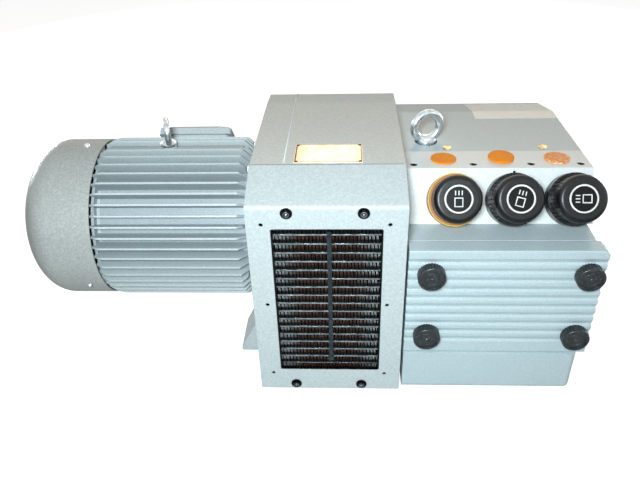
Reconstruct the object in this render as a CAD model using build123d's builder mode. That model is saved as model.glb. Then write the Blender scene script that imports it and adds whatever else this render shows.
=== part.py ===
"""Oil-free rotary vane air pump with a flange motor, an air cooler and three regulators.

Frame: X runs along the shaft from the motor to the pump end, the front is -Y and Z is up.
The origin is on the floor, in the middle of the four mounting threads of the rubber feet.
All lengths are millimetres.
"""

import os
from math import cos, radians, sin

from build123d import *

os.makedirs("parts", exist_ok=True)

# General
shaft_height = 235.0
seat_gap = 0.2
running_gap = 0.05
body_gap = 0.4

# Rubber feet
foot_spacing_x = 380.0
foot_spacing_y = 140.0
buffer_radius = 25.0
buffer_height = 30.0
buffer_edge = 2.5
foot_thread_radius = 5.0
foot_thread_depth = 15.0

# Motor stations along the shaft
motor_face = -210.0
motor_shield_thickness = 12.0
motor_barrel_length = 233.0
rear_shield_thickness = 12.0
cowl_length = 124.0
cowl_start = -464.0

# Motor frame
barrel_inner = 99.0
barrel_wall = 8.0
fin_tip_radius = 130.3
fin_root_radius = 112.0
fin_thickness = 3.0
fin_count = 48
fin_overhang = 10.0
fin_chamfer_length = 19.0
fin_round_length = 17.0
rail_width = 20.0
rail_radius = 123.0
motor_eye_x = -358.0
eye_boss_top_radius = 12.0
eye_boss_root_radius = 15.0
motor_eye_seat = 129.0

# Motor shields and their bearings
motor_flange_radius = 125.0
shield_radius = 106.0
hub_radius = 52.0
motor_bearing_outer = 40.0
motor_bearing_bore = 20.0
motor_bearing_width = 18.0
shield_hole = 22.0
cowl_lug_width = 22.0
cowl_lug_length = 32.0
flange_bolt_circle = 115.0
flange_bolt_radius = 5.0
flange_bolt_head = 8.0
flange_bolt_head_height = 7.0
flange_bolt_count = 8
flange_bolt_room = 10.0

# Fan cowl and fan
cowl_radius = 128.5
cowl_wall = 2.0
cowl_straight = 68.0
cowl_end_radius = 50.0
cowl_slot_count = 28
cowl_slot_width = 5.0
cowl_slot_inner = 20.0
cowl_slot_outer = 66.0
cowl_screw_count = 3
cowl_screw_angle = 90
cowl_screw_setback = 26.0
cowl_screw_head = 5.0
cowl_screw_height = 3.0
fan_station = -548.0
fan_disc_radius = 88.0
fan_hub_radius = 26.0
fan_hub_length = 34.0
fan_disc_thickness = 4.0
fan_blade_height = 30.0
fan_blade_thickness = 3.0
fan_blade_count = 7

# Motor windings and rotor
core_length = 170.0
core_inner = 62.0
winding_inner = 66.0
winding_outer = 94.0
winding_length = 18.0
rotor_air_gap = 1.0
coupling_shaft_radius = 19.0
fan_shaft_radius = 18.0

# Terminal box, on the rear of the motor at a slant
box_angle = 45.0
box_x = -329.4
box_length = 108.0
box_width = 88.0
box_top = 126.0
box_wall = 6.0
lid_length = 120.0
lid_width = 100.0
lid_rim = 11.0
lid_bevel_height = 9.0
lid_bevel_inset = 18.0
lid_screw_inset = 8.0
lid_screw_radius = 3.5
lid_screw_height = 3.0
cable_entry_radius = 11.7
cable_entry_height = 112.0
gland_room = 3.0

# Hood over the coupling, ventilator and cooler
hood_left = -210.0
hood_width = 212.0
hood_front = -211.6
hood_bottom = 48.5
hood_front_top = 372.0
hood_top = 397.0
hood_chamfer_back = -140.6
hood_top_back = 90.2
hood_back = 150.7
hood_back_top = 391.7
hood_sheet = 2.0
hood_bend = 7.0
window_left = -178.0
window_width = 148.4
window_bottom = 87.0
window_height = 252.0
window_corner = 3.0
seam_x = -165.0
seam_width = 3.0
seam_height = 1.2
hood_screw_spacing = 99.8
hood_screw_middle = -105.6
hood_screw_bottom = 58.8
hood_screw_rise = 304.6
hood_screw_radius = 3.0
hood_screw_head = 5.0
hood_screw_head_height = 3.2
hood_washer_radius = 8.0
hood_washer_thickness = 1.6
guard_hole_radius = 2.8
guard_spacing_x = 168.4
guard_spacing_z = 132.6
guard_middle_x = -105.5
guard_middle_z = 213.0
plate_left = -150.0
plate_length = 94.0
plate_front = -134.6
plate_width = 59.0
plate_thickness = 0.8

# Air cooler behind the window
cooler_frame_wall = 12.0
cooler_overlap = 2.0
cooler_back = -150.0
tube_count = 17
tube_pitch = 14.5
tube_top = 323.4
tube_thickness = 2.0
tube_front = -201.0
tube_depth = 46.0
fin_row_inset = 1.0
fin_folds = 20
fin_sheet = 2.0
bar_x = -101.0
bar_width = 6.0
bar_thickness = 4.0
bar_top = 331.0
bar_bottom = 100.0

# Bell housing between the motor and the pump
bell_flange_radius = 125.0
bell_flange_thickness = 12.0
bell_radius = 92.0
bell_wall = 6.0
bell_end = 12.0
bell_window_count = 6
bell_window_length = 100.0
bell_window_width = 56.0
bell_window_start = -176.0
foot_width = 75.0
foot_toe = -257.0
foot_toe_height = 5.0
foot_slope_x = -226.0
foot_slope_z = 96.0
foot_web_top = 180.0
foot_heel = -165.0

# Coupling and ventilator
hub_outer = 38.0
motor_hub_start = -192.0
coupling_hub_length = 40.0
jaw_length = 18.0
jaw_count = 3
jaw_width = 12.0
jaw_height = 18.0
jaw_radius = 27.0
spider_leg = 6.0
spider_ring = 13.0
ventilator_start = -92.0
ventilator_length = 62.0
ventilator_radius = 80.0
ventilator_blades = 11
ventilator_disc = 4.0
ventilator_hub = 30.0

# Pump cylinder, covers and rotor
pump_start = 12.0
cover_plate = 16.0
cylinder_length = 168.0
cylinder_bore = 72.0
cylinder_wall = 12.0
cylinder_rise = 8.0
cylinder_rib_height = 4.0
cylinder_rib_width = 4.0
cylinder_rib_count = 9
cover_half_width = 92.0
cover_bottom = 130.0
cover_top = 334.0
cover_corner = 15.0
rotor_radius = 63.0
rotor_end_gap = 0.8
vane_count = 6
vane_slot = 5.0
vane_depth = 30.0
vane_thickness = 4.6
pump_shaft_radius = 15.0
pump_bearing_outer = 35.0
pump_bearing_width = 14.0
end_cap_radius = 46.0
end_cap_thickness = 9.0
pump_eye_x = 44.5
pump_eye_boss = 12.8
pump_eye_seat = 366.0
bracket_length = 50.0
bracket_foot_height = 12.0
bracket_arch_height = 40.0
bracket_arch_half = 34.0
bracket_half = 104.0

# Filter housing and its cover
unit_left = 6.3
housing_right = 260.5
unit_right = 271.6
block_right = 269.0
housing_front = -207.6
housing_bottom = 48.5
housing_step = 119.8
housing_seat = -177.0
housing_back = -92.0
housing_top = 299.3
housing_heel = -165.0
housing_heel_top = 125.0
housing_corner = 8.0
pocket_left = 56.0
pocket_width = 84.0
pocket_pitch = 90.0
pocket_bottom = 140.0
pocket_height = 140.0
pocket_depth = 68.0
filter_cover_front = -203.7
cover_gap = 1.0
cover_shell = 5.0
cover_corner_cut = 6.0
gasket_thickness = 1.5
gasket_width = 6.0
gasket_inset = 3.0
rib_count = 10
rib_pitch = 15.2
rib_bottom = 137.4
rib_groove_depth = 3.5
rib_groove_width = 5.0
rib_crest_width = 5.0
thumb_x = 37.6
thumb_spacing_x = 211.8
thumb_z = 154.0
thumb_spacing_z = 107.4
thumb_radius = 19.2
thumb_height = 14.0
thumb_stud = 5.0
thumb_stud_length = 72.0
thumb_flutes = 30
thumb_flute_radius = 1.1
thumb_dish = 15.0
thumb_dish_depth = 2.0

# Valve block with its slanted front
block_foot = -134.3
block_crest = -93.8
block_top = 367.5
block_back = -37.3
block_ledge = 24.0
top_sheet = 2.0
port_x = 63.0
port_pitch = 81.5
port_y = -65.0
port_thread_radius = 15.15
port_cap_radius = 18.5
port_cap_height = 2.2
port_cap_edge = 0.8
block_screw_places = (18.7, 103.8, 185.7, 255.5)
block_screw_y = -80.6
block_screw_hole = 5.5
block_screw_depth = 7.0
block_screw_radius = 5.2
block_screw_socket = 2.6
block_screw_socket_depth = 3.0

# Regulators
knob_x = 71.5
knob_pitch = 82.0
knob_up_panel = 34.0
sleeve_radius = 37.0
sleeve_height = 26.0
sleeve_foot_radius = 33.0
sleeve_foot_height = 7.0
knob_radius = 32.8
knob_height = 58.0
knob_edge = 7.0
knob_flutes = 36
knob_flute_radius = 0.9
emblem_radius = 20.0
emblem_depth = 0.8
spindle_radius = 6.0
spindle_bore_depth = 18.0
spindle_depth = 16.0
spindle_in_knob = 12.0

# Top cover over the pump
top_back = 120.4
strip_back = 206.0
strip_top = 349.0
top_cover_bottom = 118.0
louvre_count = 6
louvre_width = 120.0
louvre_height = 7.0
louvre_pitch = 18.0
louvre_bottom = 170.0
louvre_y = 60.0
cover_screw_x = 73.7
cover_screw_pitch = 142.1
cover_screw_y = -26.0
cover_screw_head = 7.0
cover_screw_height = 1.5
eye_hole_radius = 17.0

# Eyebolts: M10 on the motor, M12 on the pump
motor_eye_outer = 22.5
motor_eye_wire = 5.0
motor_eye_collar = 12.5
motor_eye_height = 45.0
motor_eye_thread = 5.0
motor_eye_thread_length = 17.0
pump_eye_outer = 27.0
pump_eye_wire = 6.0
pump_eye_collar = 15.0
pump_eye_height = 53.0
pump_eye_thread = 6.0
pump_eye_thread_length = 20.5
pump_eye_turn = 20.0
eye_collar_height = 8.0
eye_collar_edge = 3.0
eye_seat_trim = 2.0

# Places worked out from the driving dimensions
hood_right = hood_left + hood_width
shield_start = motor_face - motor_shield_thickness
barrel_start = shield_start - motor_barrel_length
rear_shield_start = barrel_start - rear_shield_thickness
barrel_outer = barrel_inner + barrel_wall
cylinder_start = pump_start + cover_plate
end_cover_start = cylinder_start + cylinder_length
end_cover_end = end_cover_start + cover_plate
motor_shaft_end = motor_hub_start + coupling_hub_length
core_start = (barrel_start + shield_start - core_length) / 2
pump_hub_start = motor_hub_start + coupling_hub_length + jaw_length + 2 * seat_gap
gasket_back = housing_seat - body_gap
filter_cover_back = gasket_back - gasket_thickness
filter_cover_bottom = housing_step + cover_gap

shaft_axis = Axis((0, 0, shaft_height), (1, 0, 0))
shaft_plane = Plane(origin=(0, 0, shaft_height), x_dir=(0, 1, 0), z_dir=(1, 0, 0))
profile_plane = Plane(origin=(0, 0, shaft_height), x_dir=(1, 0, 0), z_dir=(0, -1, 0))
side_plane = Plane.YZ
front_plane = Plane.XZ

box_plane = Plane(
    origin=(box_x, 0, shaft_height),
    x_dir=(1, 0, 0),
    z_dir=(0, sin(radians(box_angle)), cos(radians(box_angle))),
)
box_side = box_plane.y_dir
entry_plane = Plane(
    origin=box_plane.origin + box_plane.z_dir * cable_entry_height + box_side * (box_width / 2 - box_wall),
    x_dir=(1, 0, 0),
    z_dir=box_side,
)

panel_rise = Vector(0, block_crest - block_foot, block_top - housing_top).normalized()
panel_normal = Vector(0, -panel_rise.Z, panel_rise.Y)
panel_foot = Vector(0, block_foot, housing_top)


def ring(start, end, outer, inner=0.0, mode=Mode.ADD):
    """Add or cut a plain ring about the shaft axis between two stations."""
    with BuildSketch(shaft_plane.offset(start)) as section:
        Circle(outer)
        if inner > 0:
            Circle(inner, mode=Mode.SUBTRACT)
    extrude(section.sketch, amount=end - start, mode=mode)


def prism(points, start, end, mode=Mode.ADD):
    """Add or cut an outline of (y, z) points carried along X between two stations."""
    with BuildSketch(side_plane.offset(start)) as section:
        with BuildLine():
            Polyline(*points, close=True)
        make_face()
    extrude(section.sketch, amount=end - start, mode=mode)


def block(low, high, mode=Mode.ADD):
    """Add or cut a rectangular block between its lowest and highest corners."""
    size = [b - a for a, b in zip(low, high)]
    middle = [(a + b) / 2 for a, b in zip(low, high)]
    with Locations(tuple(middle)):
        Box(*size, mode=mode)


def save(piece, name):
    """Label a finished piece and write it under its own name."""
    piece.part.label = name
    export_step(piece.part, f"parts/{name}.step")


# Rubber feet with a thread in each underside
with BuildPart() as rubber_feet:
    with BuildSketch(Plane.XY):
        with GridLocations(foot_spacing_x, foot_spacing_y, 2, 2):
            Circle(buffer_radius)
    extrude(amount=buffer_height)
    chamfer(rubber_feet.edges().filter_by(GeomType.CIRCLE), buffer_edge)
    with BuildSketch(Plane.XY):
        with GridLocations(foot_spacing_x, foot_spacing_y, 2, 2):
            Circle(foot_thread_radius)
    extrude(amount=foot_thread_depth, mode=Mode.SUBTRACT)
save(rubber_feet, "rubber_feet")


# Motor frame: a barrel, straight radial fins, a top rail and the eyebolt's boss
with BuildPart() as motor_frame:
    fin_start = barrel_start - fin_overhang
    with BuildSketch(shaft_plane.offset(fin_start)):
        with PolarLocations((barrel_outer - 1 + fin_tip_radius) / 2, fin_count):
            Rectangle(fin_tip_radius - barrel_outer + 1, fin_thickness)
    extrude(amount=shield_start - fin_start)
    with BuildSketch(profile_plane):
        with BuildLine():
            Line((fin_start, 0), (fin_start, fin_root_radius))
            RadiusArc(
                (fin_start, fin_root_radius),
                (fin_start + fin_round_length, fin_tip_radius),
                fin_tip_radius - fin_root_radius + 2,
            )
            Polyline(
                (fin_start + fin_round_length, fin_tip_radius),
                (shield_start - fin_chamfer_length, fin_tip_radius),
                (shield_start, fin_root_radius),
                (shield_start, 0),
                (fin_start, 0),
            )
        make_face()
    revolve(axis=shaft_axis, mode=Mode.INTERSECT)
    block(
        (fin_start, -rail_width / 2, shaft_height + rail_radius),
        (shield_start, rail_width / 2, shaft_height + 2 * fin_tip_radius),
        mode=Mode.SUBTRACT,
    )
    block(
        (barrel_start, -rail_width / 2, shaft_height + barrel_inner),
        (shield_start - fin_chamfer_length, rail_width / 2, shaft_height + rail_radius),
    )
    with Locations((motor_eye_x, 0, shaft_height + barrel_inner)):
        Cone(
            eye_boss_root_radius,
            eye_boss_top_radius,
            motor_eye_seat - barrel_inner,
            align=(Align.CENTER, Align.CENTER, Align.MIN),
        )
    with BuildSketch(box_plane.offset(barrel_inner)):
        Rectangle(lid_length + 2 * body_gap, lid_width + 2 * body_gap)
    extrude(amount=fin_tip_radius, mode=Mode.SUBTRACT)
    with BuildSketch(entry_plane):
        Circle(cable_entry_radius + gland_room)
    extrude(amount=lid_width, mode=Mode.SUBTRACT)
    with BuildSketch(shaft_plane.offset(shield_start - flange_bolt_room)):
        with PolarLocations(flange_bolt_circle, flange_bolt_count, start_angle=180 / flange_bolt_count):
            Circle(flange_bolt_head + 1)
    extrude(amount=flange_bolt_room, mode=Mode.SUBTRACT)
    ring(barrel_start, shield_start, barrel_outer)
    ring(fin_start, shield_start, barrel_inner, mode=Mode.SUBTRACT)
    with Locations((motor_eye_x, 0, shaft_height + motor_eye_seat)):
        Hole(motor_eye_thread + seat_gap, depth=motor_eye_thread_length + 1)
save(motor_frame, "motor_frame")


def bearing_pocket(start, end):
    """Cut the seat of a motor bearing between two stations."""
    ring(start, end, motor_bearing_outer + seat_gap, mode=Mode.SUBTRACT)


# Drive end shield with the mounting flange
front_pocket = shield_start - motor_bearing_width
with BuildPart() as front_shield:
    ring(shield_start, motor_face, motor_flange_radius)
    ring(front_pocket, shield_start, hub_radius)
    ring(front_pocket, motor_face, shield_hole, mode=Mode.SUBTRACT)
    bearing_pocket(front_pocket, shield_start)
    with BuildSketch(shaft_plane.offset(shield_start)):
        with PolarLocations(flange_bolt_circle, flange_bolt_count, start_angle=180 / flange_bolt_count):
            Circle(flange_bolt_radius + seat_gap)
    extrude(amount=motor_shield_thickness, mode=Mode.SUBTRACT)
save(front_shield, "front_shield")


# Bolts from the motor flange into the bell housing
with BuildPart() as flange_bolts:
    bolt_angles = PolarLocations(
        flange_bolt_circle, flange_bolt_count, start_angle=180 / flange_bolt_count
    )
    with BuildSketch(shaft_plane.offset(shield_start - flange_bolt_head_height)):
        with bolt_angles:
            RegularPolygon(flange_bolt_head, 6)
    extrude(amount=flange_bolt_head_height)
    with BuildSketch(shaft_plane.offset(shield_start)):
        with bolt_angles:
            Circle(flange_bolt_radius)
    extrude(amount=motor_shield_thickness)
save(flange_bolts, "flange_bolts")


# Rear shield with three lugs for the cowl
rear_pocket = barrel_start + motor_bearing_width
with BuildPart() as rear_shield:
    ring(rear_shield_start, barrel_start, shield_radius)
    ring(barrel_start, rear_pocket, hub_radius)
    lug_height = cowl_radius - cowl_wall - seat_gap - hub_radius
    with BuildSketch(shaft_plane.offset(rear_shield_start - cowl_lug_length)):
        with PolarLocations(hub_radius + lug_height / 2, cowl_screw_count, start_angle=cowl_screw_angle):
            Rectangle(lug_height, cowl_lug_width)
    extrude(amount=cowl_lug_length)
    ring(
        rear_shield_start - cowl_lug_length,
        rear_shield_start,
        shield_radius - fin_overhang,
        mode=Mode.SUBTRACT,
    )
    with BuildSketch(profile_plane):
        with BuildLine():
            Polyline(
                (rear_shield_start - cowl_lug_length, 0),
                (rear_shield_start - cowl_lug_length, cowl_radius - cowl_wall - seat_gap),
                (rear_pocket, cowl_radius - cowl_wall - seat_gap),
                (rear_pocket, 0),
                close=True,
            )
        make_face()
    revolve(axis=shaft_axis, mode=Mode.INTERSECT)
    ring(rear_shield_start, rear_pocket, shield_hole, mode=Mode.SUBTRACT)
    bearing_pocket(barrel_start, rear_pocket)
save(rear_shield, "rear_shield")


# Motor bearings
with BuildPart() as motor_bearings:
    for pocket in (front_pocket, barrel_start):
        ring(pocket, pocket + motor_bearing_width, motor_bearing_outer, motor_bearing_bore)
save(motor_bearings, "motor_bearings")


# Stator core with its winding heads
with BuildPart() as stator_core:
    ring(core_start, core_start + core_length, barrel_inner - seat_gap, core_inner)
    ring(core_start - winding_length, core_start, winding_outer, winding_inner)
    core_end = core_start + core_length
    ring(core_end, core_end + winding_length, winding_outer, winding_inner)
save(stator_core, "stator_core")


# Motor rotor and shaft
with BuildPart() as motor_rotor:
    ring(core_start, core_start + core_length, core_inner - rotor_air_gap, motor_bearing_bore)
save(motor_rotor, "motor_rotor")

with BuildPart() as motor_shaft:
    ring(fan_station - 4, barrel_start, fan_shaft_radius)
    ring(barrel_start, core_start, motor_bearing_bore - running_gap)
    ring(core_start, core_start + core_length, motor_bearing_bore)
    ring(core_start + core_length, shield_start, motor_bearing_bore - running_gap)
    ring(shield_start, motor_shaft_end, coupling_shaft_radius)
    chamfer(motor_shaft.edges().filter_by(GeomType.CIRCLE).group_by(Axis.X)[-1], 1.5)
save(motor_shaft, "motor_shaft")


# Cooling fan under the cowl
with BuildPart() as cooling_fan:
    ring(fan_station, fan_station + fan_hub_length, fan_hub_radius)
    fan_disc_start = fan_station + fan_hub_length - fan_disc_thickness
    ring(fan_disc_start, fan_disc_start + fan_disc_thickness, fan_disc_radius)
    with BuildSketch(shaft_plane.offset(fan_disc_start - fan_blade_height)):
        with PolarLocations((fan_disc_radius + fan_hub_radius) / 2, fan_blade_count):
            Rectangle(fan_disc_radius - fan_hub_radius + 1, fan_blade_thickness)
    extrude(amount=fan_blade_height)
    ring(fan_station, fan_station + fan_hub_length, fan_shaft_radius, mode=Mode.SUBTRACT)
save(cooling_fan, "cooling_fan")


def cowl_outline(inset):
    """Draw half of the cowl's section, set in from its outer skin by a distance."""
    rim = cowl_start
    shoulder = cowl_start - cowl_straight
    end = cowl_start - cowl_length + inset
    Polyline((end, 0), (rim, 0), (rim, cowl_radius - inset), (shoulder, cowl_radius - inset))
    EllipticalCenterArc(
        (shoulder, cowl_end_radius),
        shoulder - end,
        cowl_radius - inset - cowl_end_radius,
        start_angle=90,
        arc_size=90,
    )
    Line((end, cowl_end_radius), (end, 0))


# Fan cowl: a deep drawn shell with slots in its end
with BuildPart() as fan_cowl:
    with BuildSketch(profile_plane):
        with BuildLine():
            cowl_outline(0)
        make_face()
    revolve(axis=shaft_axis)
    with BuildSketch(profile_plane):
        with BuildLine():
            cowl_outline(cowl_wall)
        make_face()
    revolve(axis=shaft_axis, mode=Mode.SUBTRACT)
    with BuildSketch(shaft_plane.offset(cowl_start - cowl_length)):
        with PolarLocations((cowl_slot_inner + cowl_slot_outer) / 2, cowl_slot_count):
            Rectangle(cowl_slot_outer - cowl_slot_inner, cowl_slot_width)
        Circle(cowl_slot_inner + 12, mode=Mode.SUBTRACT)
        with PolarLocations(cowl_slot_inner, cowl_slot_count // 2):
            Rectangle(10, cowl_slot_width)
    extrude(amount=cowl_wall * 3, mode=Mode.SUBTRACT)
    cowl_screw_x = cowl_start - cowl_screw_setback
    for angle in range(cowl_screw_angle, cowl_screw_angle + 360, 360 // cowl_screw_count):
        screw_plane = Plane(
            origin=(cowl_screw_x, 0, shaft_height),
            x_dir=(1, 0, 0),
            z_dir=(0, cos(radians(angle)), sin(radians(angle))),
        )
        with BuildSketch(screw_plane.offset(cowl_radius - cowl_wall * 3)):
            Circle(cowl_screw_head / 2 + seat_gap)
        extrude(amount=cowl_wall * 4, mode=Mode.SUBTRACT)
save(fan_cowl, "fan_cowl")

with BuildPart() as cowl_screws:
    for angle in range(cowl_screw_angle, cowl_screw_angle + 360, 360 // cowl_screw_count):
        screw_plane = Plane(
            origin=(cowl_screw_x, 0, shaft_height),
            x_dir=(1, 0, 0),
            z_dir=(0, cos(radians(angle)), sin(radians(angle))),
        )
        with BuildSketch(screw_plane.offset(cowl_radius)):
            Circle(cowl_screw_head)
        extrude(amount=cowl_screw_height, taper=20)
        with BuildSketch(screw_plane.offset(cowl_radius - cowl_wall)):
            Circle(cowl_screw_head / 2)
        extrude(amount=cowl_wall)
save(cowl_screws, "cowl_screws")


def eyebolt(seat, ring_normal, outer, wire, height, collar, thread, thread_length):
    """Build an eyebolt that stands on a seat, with its ring square to a direction."""
    x, y, z = seat
    upwards = (Align.CENTER, Align.CENTER, Align.MIN)
    downwards = (Align.CENTER, Align.CENTER, Align.MAX)
    with BuildPart() as bolt:
        ring_centre = (x, y, z + height - outer)
        section_plane = Plane(
            origin=ring_centre,
            x_dir=(0, 0, 1),
            z_dir=Vector(0, 0, 1).cross(Vector(*ring_normal)),
        )
        with BuildSketch(section_plane):
            with Locations((outer - wire, 0)):
                Circle(wire)
        revolve(axis=Axis(ring_centre, ring_normal))
        with Locations((x, y, z + eye_seat_trim)):
            Cylinder(outer, outer, align=downwards, mode=Mode.SUBTRACT)
        with Locations((x, y, z)):
            Cylinder(collar, eye_collar_height - eye_collar_edge, align=upwards)
            Cylinder(thread, thread_length, align=downwards)
        with Locations((x, y, z + eye_collar_height - eye_collar_edge)):
            Cone(collar, collar - eye_collar_edge, eye_collar_edge, align=upwards)
    return bolt


motor_eyebolt = eyebolt(
    (motor_eye_x, 0, shaft_height + motor_eye_seat),
    (1, 0, 0),
    motor_eye_outer,
    motor_eye_wire,
    motor_eye_height,
    motor_eye_collar,
    motor_eye_thread,
    motor_eye_thread_length,
)
save(motor_eyebolt, "motor_eyebolt")


# Terminal box, its lid, the lid's screws and the cable entry
with BuildPart() as terminal_box:
    with BuildSketch(box_plane.offset(barrel_inner)):
        RectangleRounded(box_length, box_width, box_wall)
        RectangleRounded(box_length - 2 * box_wall, box_width - 2 * box_wall, 2, mode=Mode.SUBTRACT)
    extrude(amount=box_top - barrel_inner)
    ring(barrel_start, shield_start, barrel_outer + seat_gap, mode=Mode.SUBTRACT)
    with BuildSketch(entry_plane.offset(-1)):
        Circle(cable_entry_radius)
    extrude(amount=box_wall + 2, mode=Mode.SUBTRACT)
save(terminal_box, "terminal_box")

with BuildPart() as terminal_lid:
    with BuildSketch(box_plane.offset(box_top)):
        RectangleRounded(lid_length, lid_width, 7)
    extrude(amount=lid_rim)
    with BuildSketch(box_plane.offset(box_top + lid_rim)):
        RectangleRounded(lid_length, lid_width, 7)
    with BuildSketch(box_plane.offset(box_top + lid_rim + lid_bevel_height)):
        RectangleRounded(lid_length - 2 * lid_bevel_inset, lid_width - 2 * lid_bevel_inset, 4)
    loft()
    with BuildSketch(box_plane.offset(box_top + lid_rim)):
        with GridLocations(lid_length - 2 * lid_screw_inset, lid_width - 2 * lid_screw_inset, 2, 2):
            Circle(lid_screw_radius + seat_gap)
    extrude(amount=lid_bevel_height, mode=Mode.SUBTRACT)
save(terminal_lid, "terminal_lid")

with BuildPart() as terminal_screws:
    with BuildSketch(box_plane.offset(box_top + lid_rim)):
        with GridLocations(lid_length - 2 * lid_screw_inset, lid_width - 2 * lid_screw_inset, 2, 2):
            Circle(lid_screw_radius)
    extrude(amount=lid_screw_height)
save(terminal_screws, "terminal_screws")


# Bell housing with the two front feet and two air windows a side
with BuildPart() as bell_housing:
    ring(motor_face, motor_face + bell_flange_thickness, bell_flange_radius)
    ring(motor_face, bell_end, bell_radius)
    with BuildSketch(Plane.XY.offset(shaft_height)):
        with Locations((bell_window_start + bell_window_length / 2, 0)):
            RectangleRounded(bell_window_length, bell_window_width, 12)
    window_tool = extrude(amount=bell_radius + 1, mode=Mode.PRIVATE)
    for side in (-1, 1):
        prism(
            [
                (side * (foot_spacing_y - foot_width) / 2, buffer_height),
                (side * (foot_spacing_y + foot_width) / 2, buffer_height),
                (side * (foot_spacing_y + foot_width) / 2, foot_web_top),
                (side * (foot_spacing_y - foot_width) / 2, foot_web_top),
            ],
            foot_toe,
            foot_heel,
        )
    with BuildSketch(front_plane.offset(-foot_spacing_y)):
        with BuildLine():
            Polyline(
                (foot_toe - 1, buffer_height + foot_toe_height),
                (foot_slope_x, foot_slope_z),
                (motor_face, foot_slope_z),
                (motor_face, foot_web_top + 1),
                (foot_toe - 1, foot_web_top + 1),
                close=True,
            )
        make_face()
    extrude(amount=2 * foot_spacing_y, mode=Mode.SUBTRACT)
    ring(motor_face, bell_end, bell_radius - bell_wall, mode=Mode.SUBTRACT)
    for index in range(bell_window_count):
        add(window_tool.rotate(shaft_axis, index * 360 / bell_window_count), mode=Mode.SUBTRACT)
save(bell_housing, "bell_housing")


def jaws(start, turn, width):
    """Add the coupling's three jaws from a station, turned about the shaft."""
    with BuildSketch(shaft_plane.offset(start)) as section:
        with PolarLocations(jaw_radius, jaw_count, start_angle=turn):
            Rectangle(jaw_height, width)
    extrude(section.sketch, amount=jaw_length)


# Jaw coupling: two hubs and the elastic spider between them
with BuildPart() as motor_hub:
    ring(motor_hub_start, motor_hub_start + coupling_hub_length, hub_outer, coupling_shaft_radius)
    jaws(motor_hub_start + coupling_hub_length, 0, jaw_width)
save(motor_hub, "motor_hub")

with BuildPart() as pump_hub:
    jaws(pump_hub_start - jaw_length, 180 / jaw_count, jaw_width)
    ring(pump_hub_start, pump_hub_start + coupling_hub_length, hub_outer, pump_shaft_radius)
save(pump_hub, "pump_hub")

with BuildPart() as coupling_spider:
    spider_start = motor_hub_start + coupling_hub_length + seat_gap
    with BuildSketch(shaft_plane.offset(spider_start)):
        Circle(spider_ring)
        with PolarLocations((spider_ring + hub_outer) / 2 - 1, 2 * jaw_count, start_angle=90 / jaw_count):
            Rectangle(hub_outer - spider_ring, spider_leg)
    extrude(amount=jaw_length)
save(coupling_spider, "coupling_spider")


# Ventilator wheel on the pump hub
with BuildPart() as ventilator:
    ring(ventilator_start, ventilator_start + ventilator_length, ventilator_hub)
    ring(ventilator_start, ventilator_start + ventilator_disc, ventilator_radius)
    with BuildSketch(shaft_plane.offset(ventilator_start)):
        with PolarLocations((ventilator_radius + ventilator_hub) / 2, ventilator_blades):
            Rectangle(ventilator_radius - ventilator_hub + 1, 3, rotation=14)
    extrude(amount=ventilator_length)
    ring(
        ventilator_start,
        ventilator_start + ventilator_length,
        pump_shaft_radius,
        mode=Mode.SUBTRACT,
    )
    ring(ventilator_start, ventilator_start + ventilator_length, ventilator_radius + 9, ventilator_radius,
         mode=Mode.SUBTRACT)
save(ventilator, "ventilator")


# Hood: a bent sheet box, open below, with the cooler's window in front
hood_outline = [
    (hood_front, hood_bottom),
    (hood_front, hood_front_top),
    (hood_chamfer_back, hood_top),
    (hood_top_back, hood_top),
    (hood_back, hood_back_top),
    (hood_back, hood_bottom),
]
with BuildPart() as hood:
    prism(hood_outline, hood_left, hood_right)
    bends = [
        (hood_front, hood_front_top),
        (hood_chamfer_back, hood_top),
        (hood_back, hood_back_top),
    ]
    for y, z in bends:
        edge = hood.edges().filter_by(Axis.X).sort_by_distance((hood_left + hood_width / 2, y, z))[0]
        fillet(edge, hood_bend)
    bottom_face = hood.faces().sort_by(Axis.Z)[0]
    offset(amount=-hood_sheet, openings=bottom_face, mode=Mode.REPLACE)
    with BuildSketch(front_plane.offset(-hood_front)):
        with Locations((window_left + window_width / 2, window_bottom + window_height / 2)):
            RectangleRounded(window_width, window_height, window_corner)
        with Locations((hood_screw_middle, hood_screw_bottom + hood_screw_rise / 2)):
            with GridLocations(hood_screw_spacing, hood_screw_rise, 2, 2):
                Circle(hood_screw_radius + seat_gap)
        with Locations((guard_middle_x, guard_middle_z)):
            with GridLocations(guard_spacing_x, guard_spacing_z, 2, 3):
                Circle(guard_hole_radius)
    extrude(amount=-2 * hood_sheet, mode=Mode.SUBTRACT)
    ring(hood_left - 1, hood_left + 2 * hood_sheet, bell_flange_radius + seat_gap, mode=Mode.SUBTRACT)
    ring(hood_right - 2 * hood_sheet, hood_right + 1, bell_radius + seat_gap, mode=Mode.SUBTRACT)
    block(
        (hood_left - 1, -foot_spacing_y / 2 - foot_width / 2 - body_gap, 0),
        (
            hood_left + 2 * hood_sheet,
            foot_spacing_y / 2 + foot_width / 2 + body_gap,
            foot_web_top + body_gap,
        ),
        mode=Mode.SUBTRACT,
    )
    block(
        (seam_x, hood_chamfer_back + hood_bend, hood_top - hood_sheet / 2),
        (seam_x + seam_width, hood_top_back, hood_top + seam_height),
    )
save(hood, "hood")

with BuildPart() as hood_screws:
    screw_grid = Locations((hood_screw_middle, hood_screw_bottom + hood_screw_rise / 2))
    for radius, start, length in (
        (hood_washer_radius, -hood_front, hood_washer_thickness),
        (hood_screw_head, -hood_front + hood_washer_thickness, hood_screw_head_height),
        (hood_screw_radius, -hood_front - 2 * hood_sheet, 2 * hood_sheet),
    ):
        with BuildSketch(front_plane.offset(start)):
            with screw_grid:
                with GridLocations(hood_screw_spacing, hood_screw_rise, 2, 2):
                    Circle(radius)
        extrude(amount=length)
save(hood_screws, "hood_screws")

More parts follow.
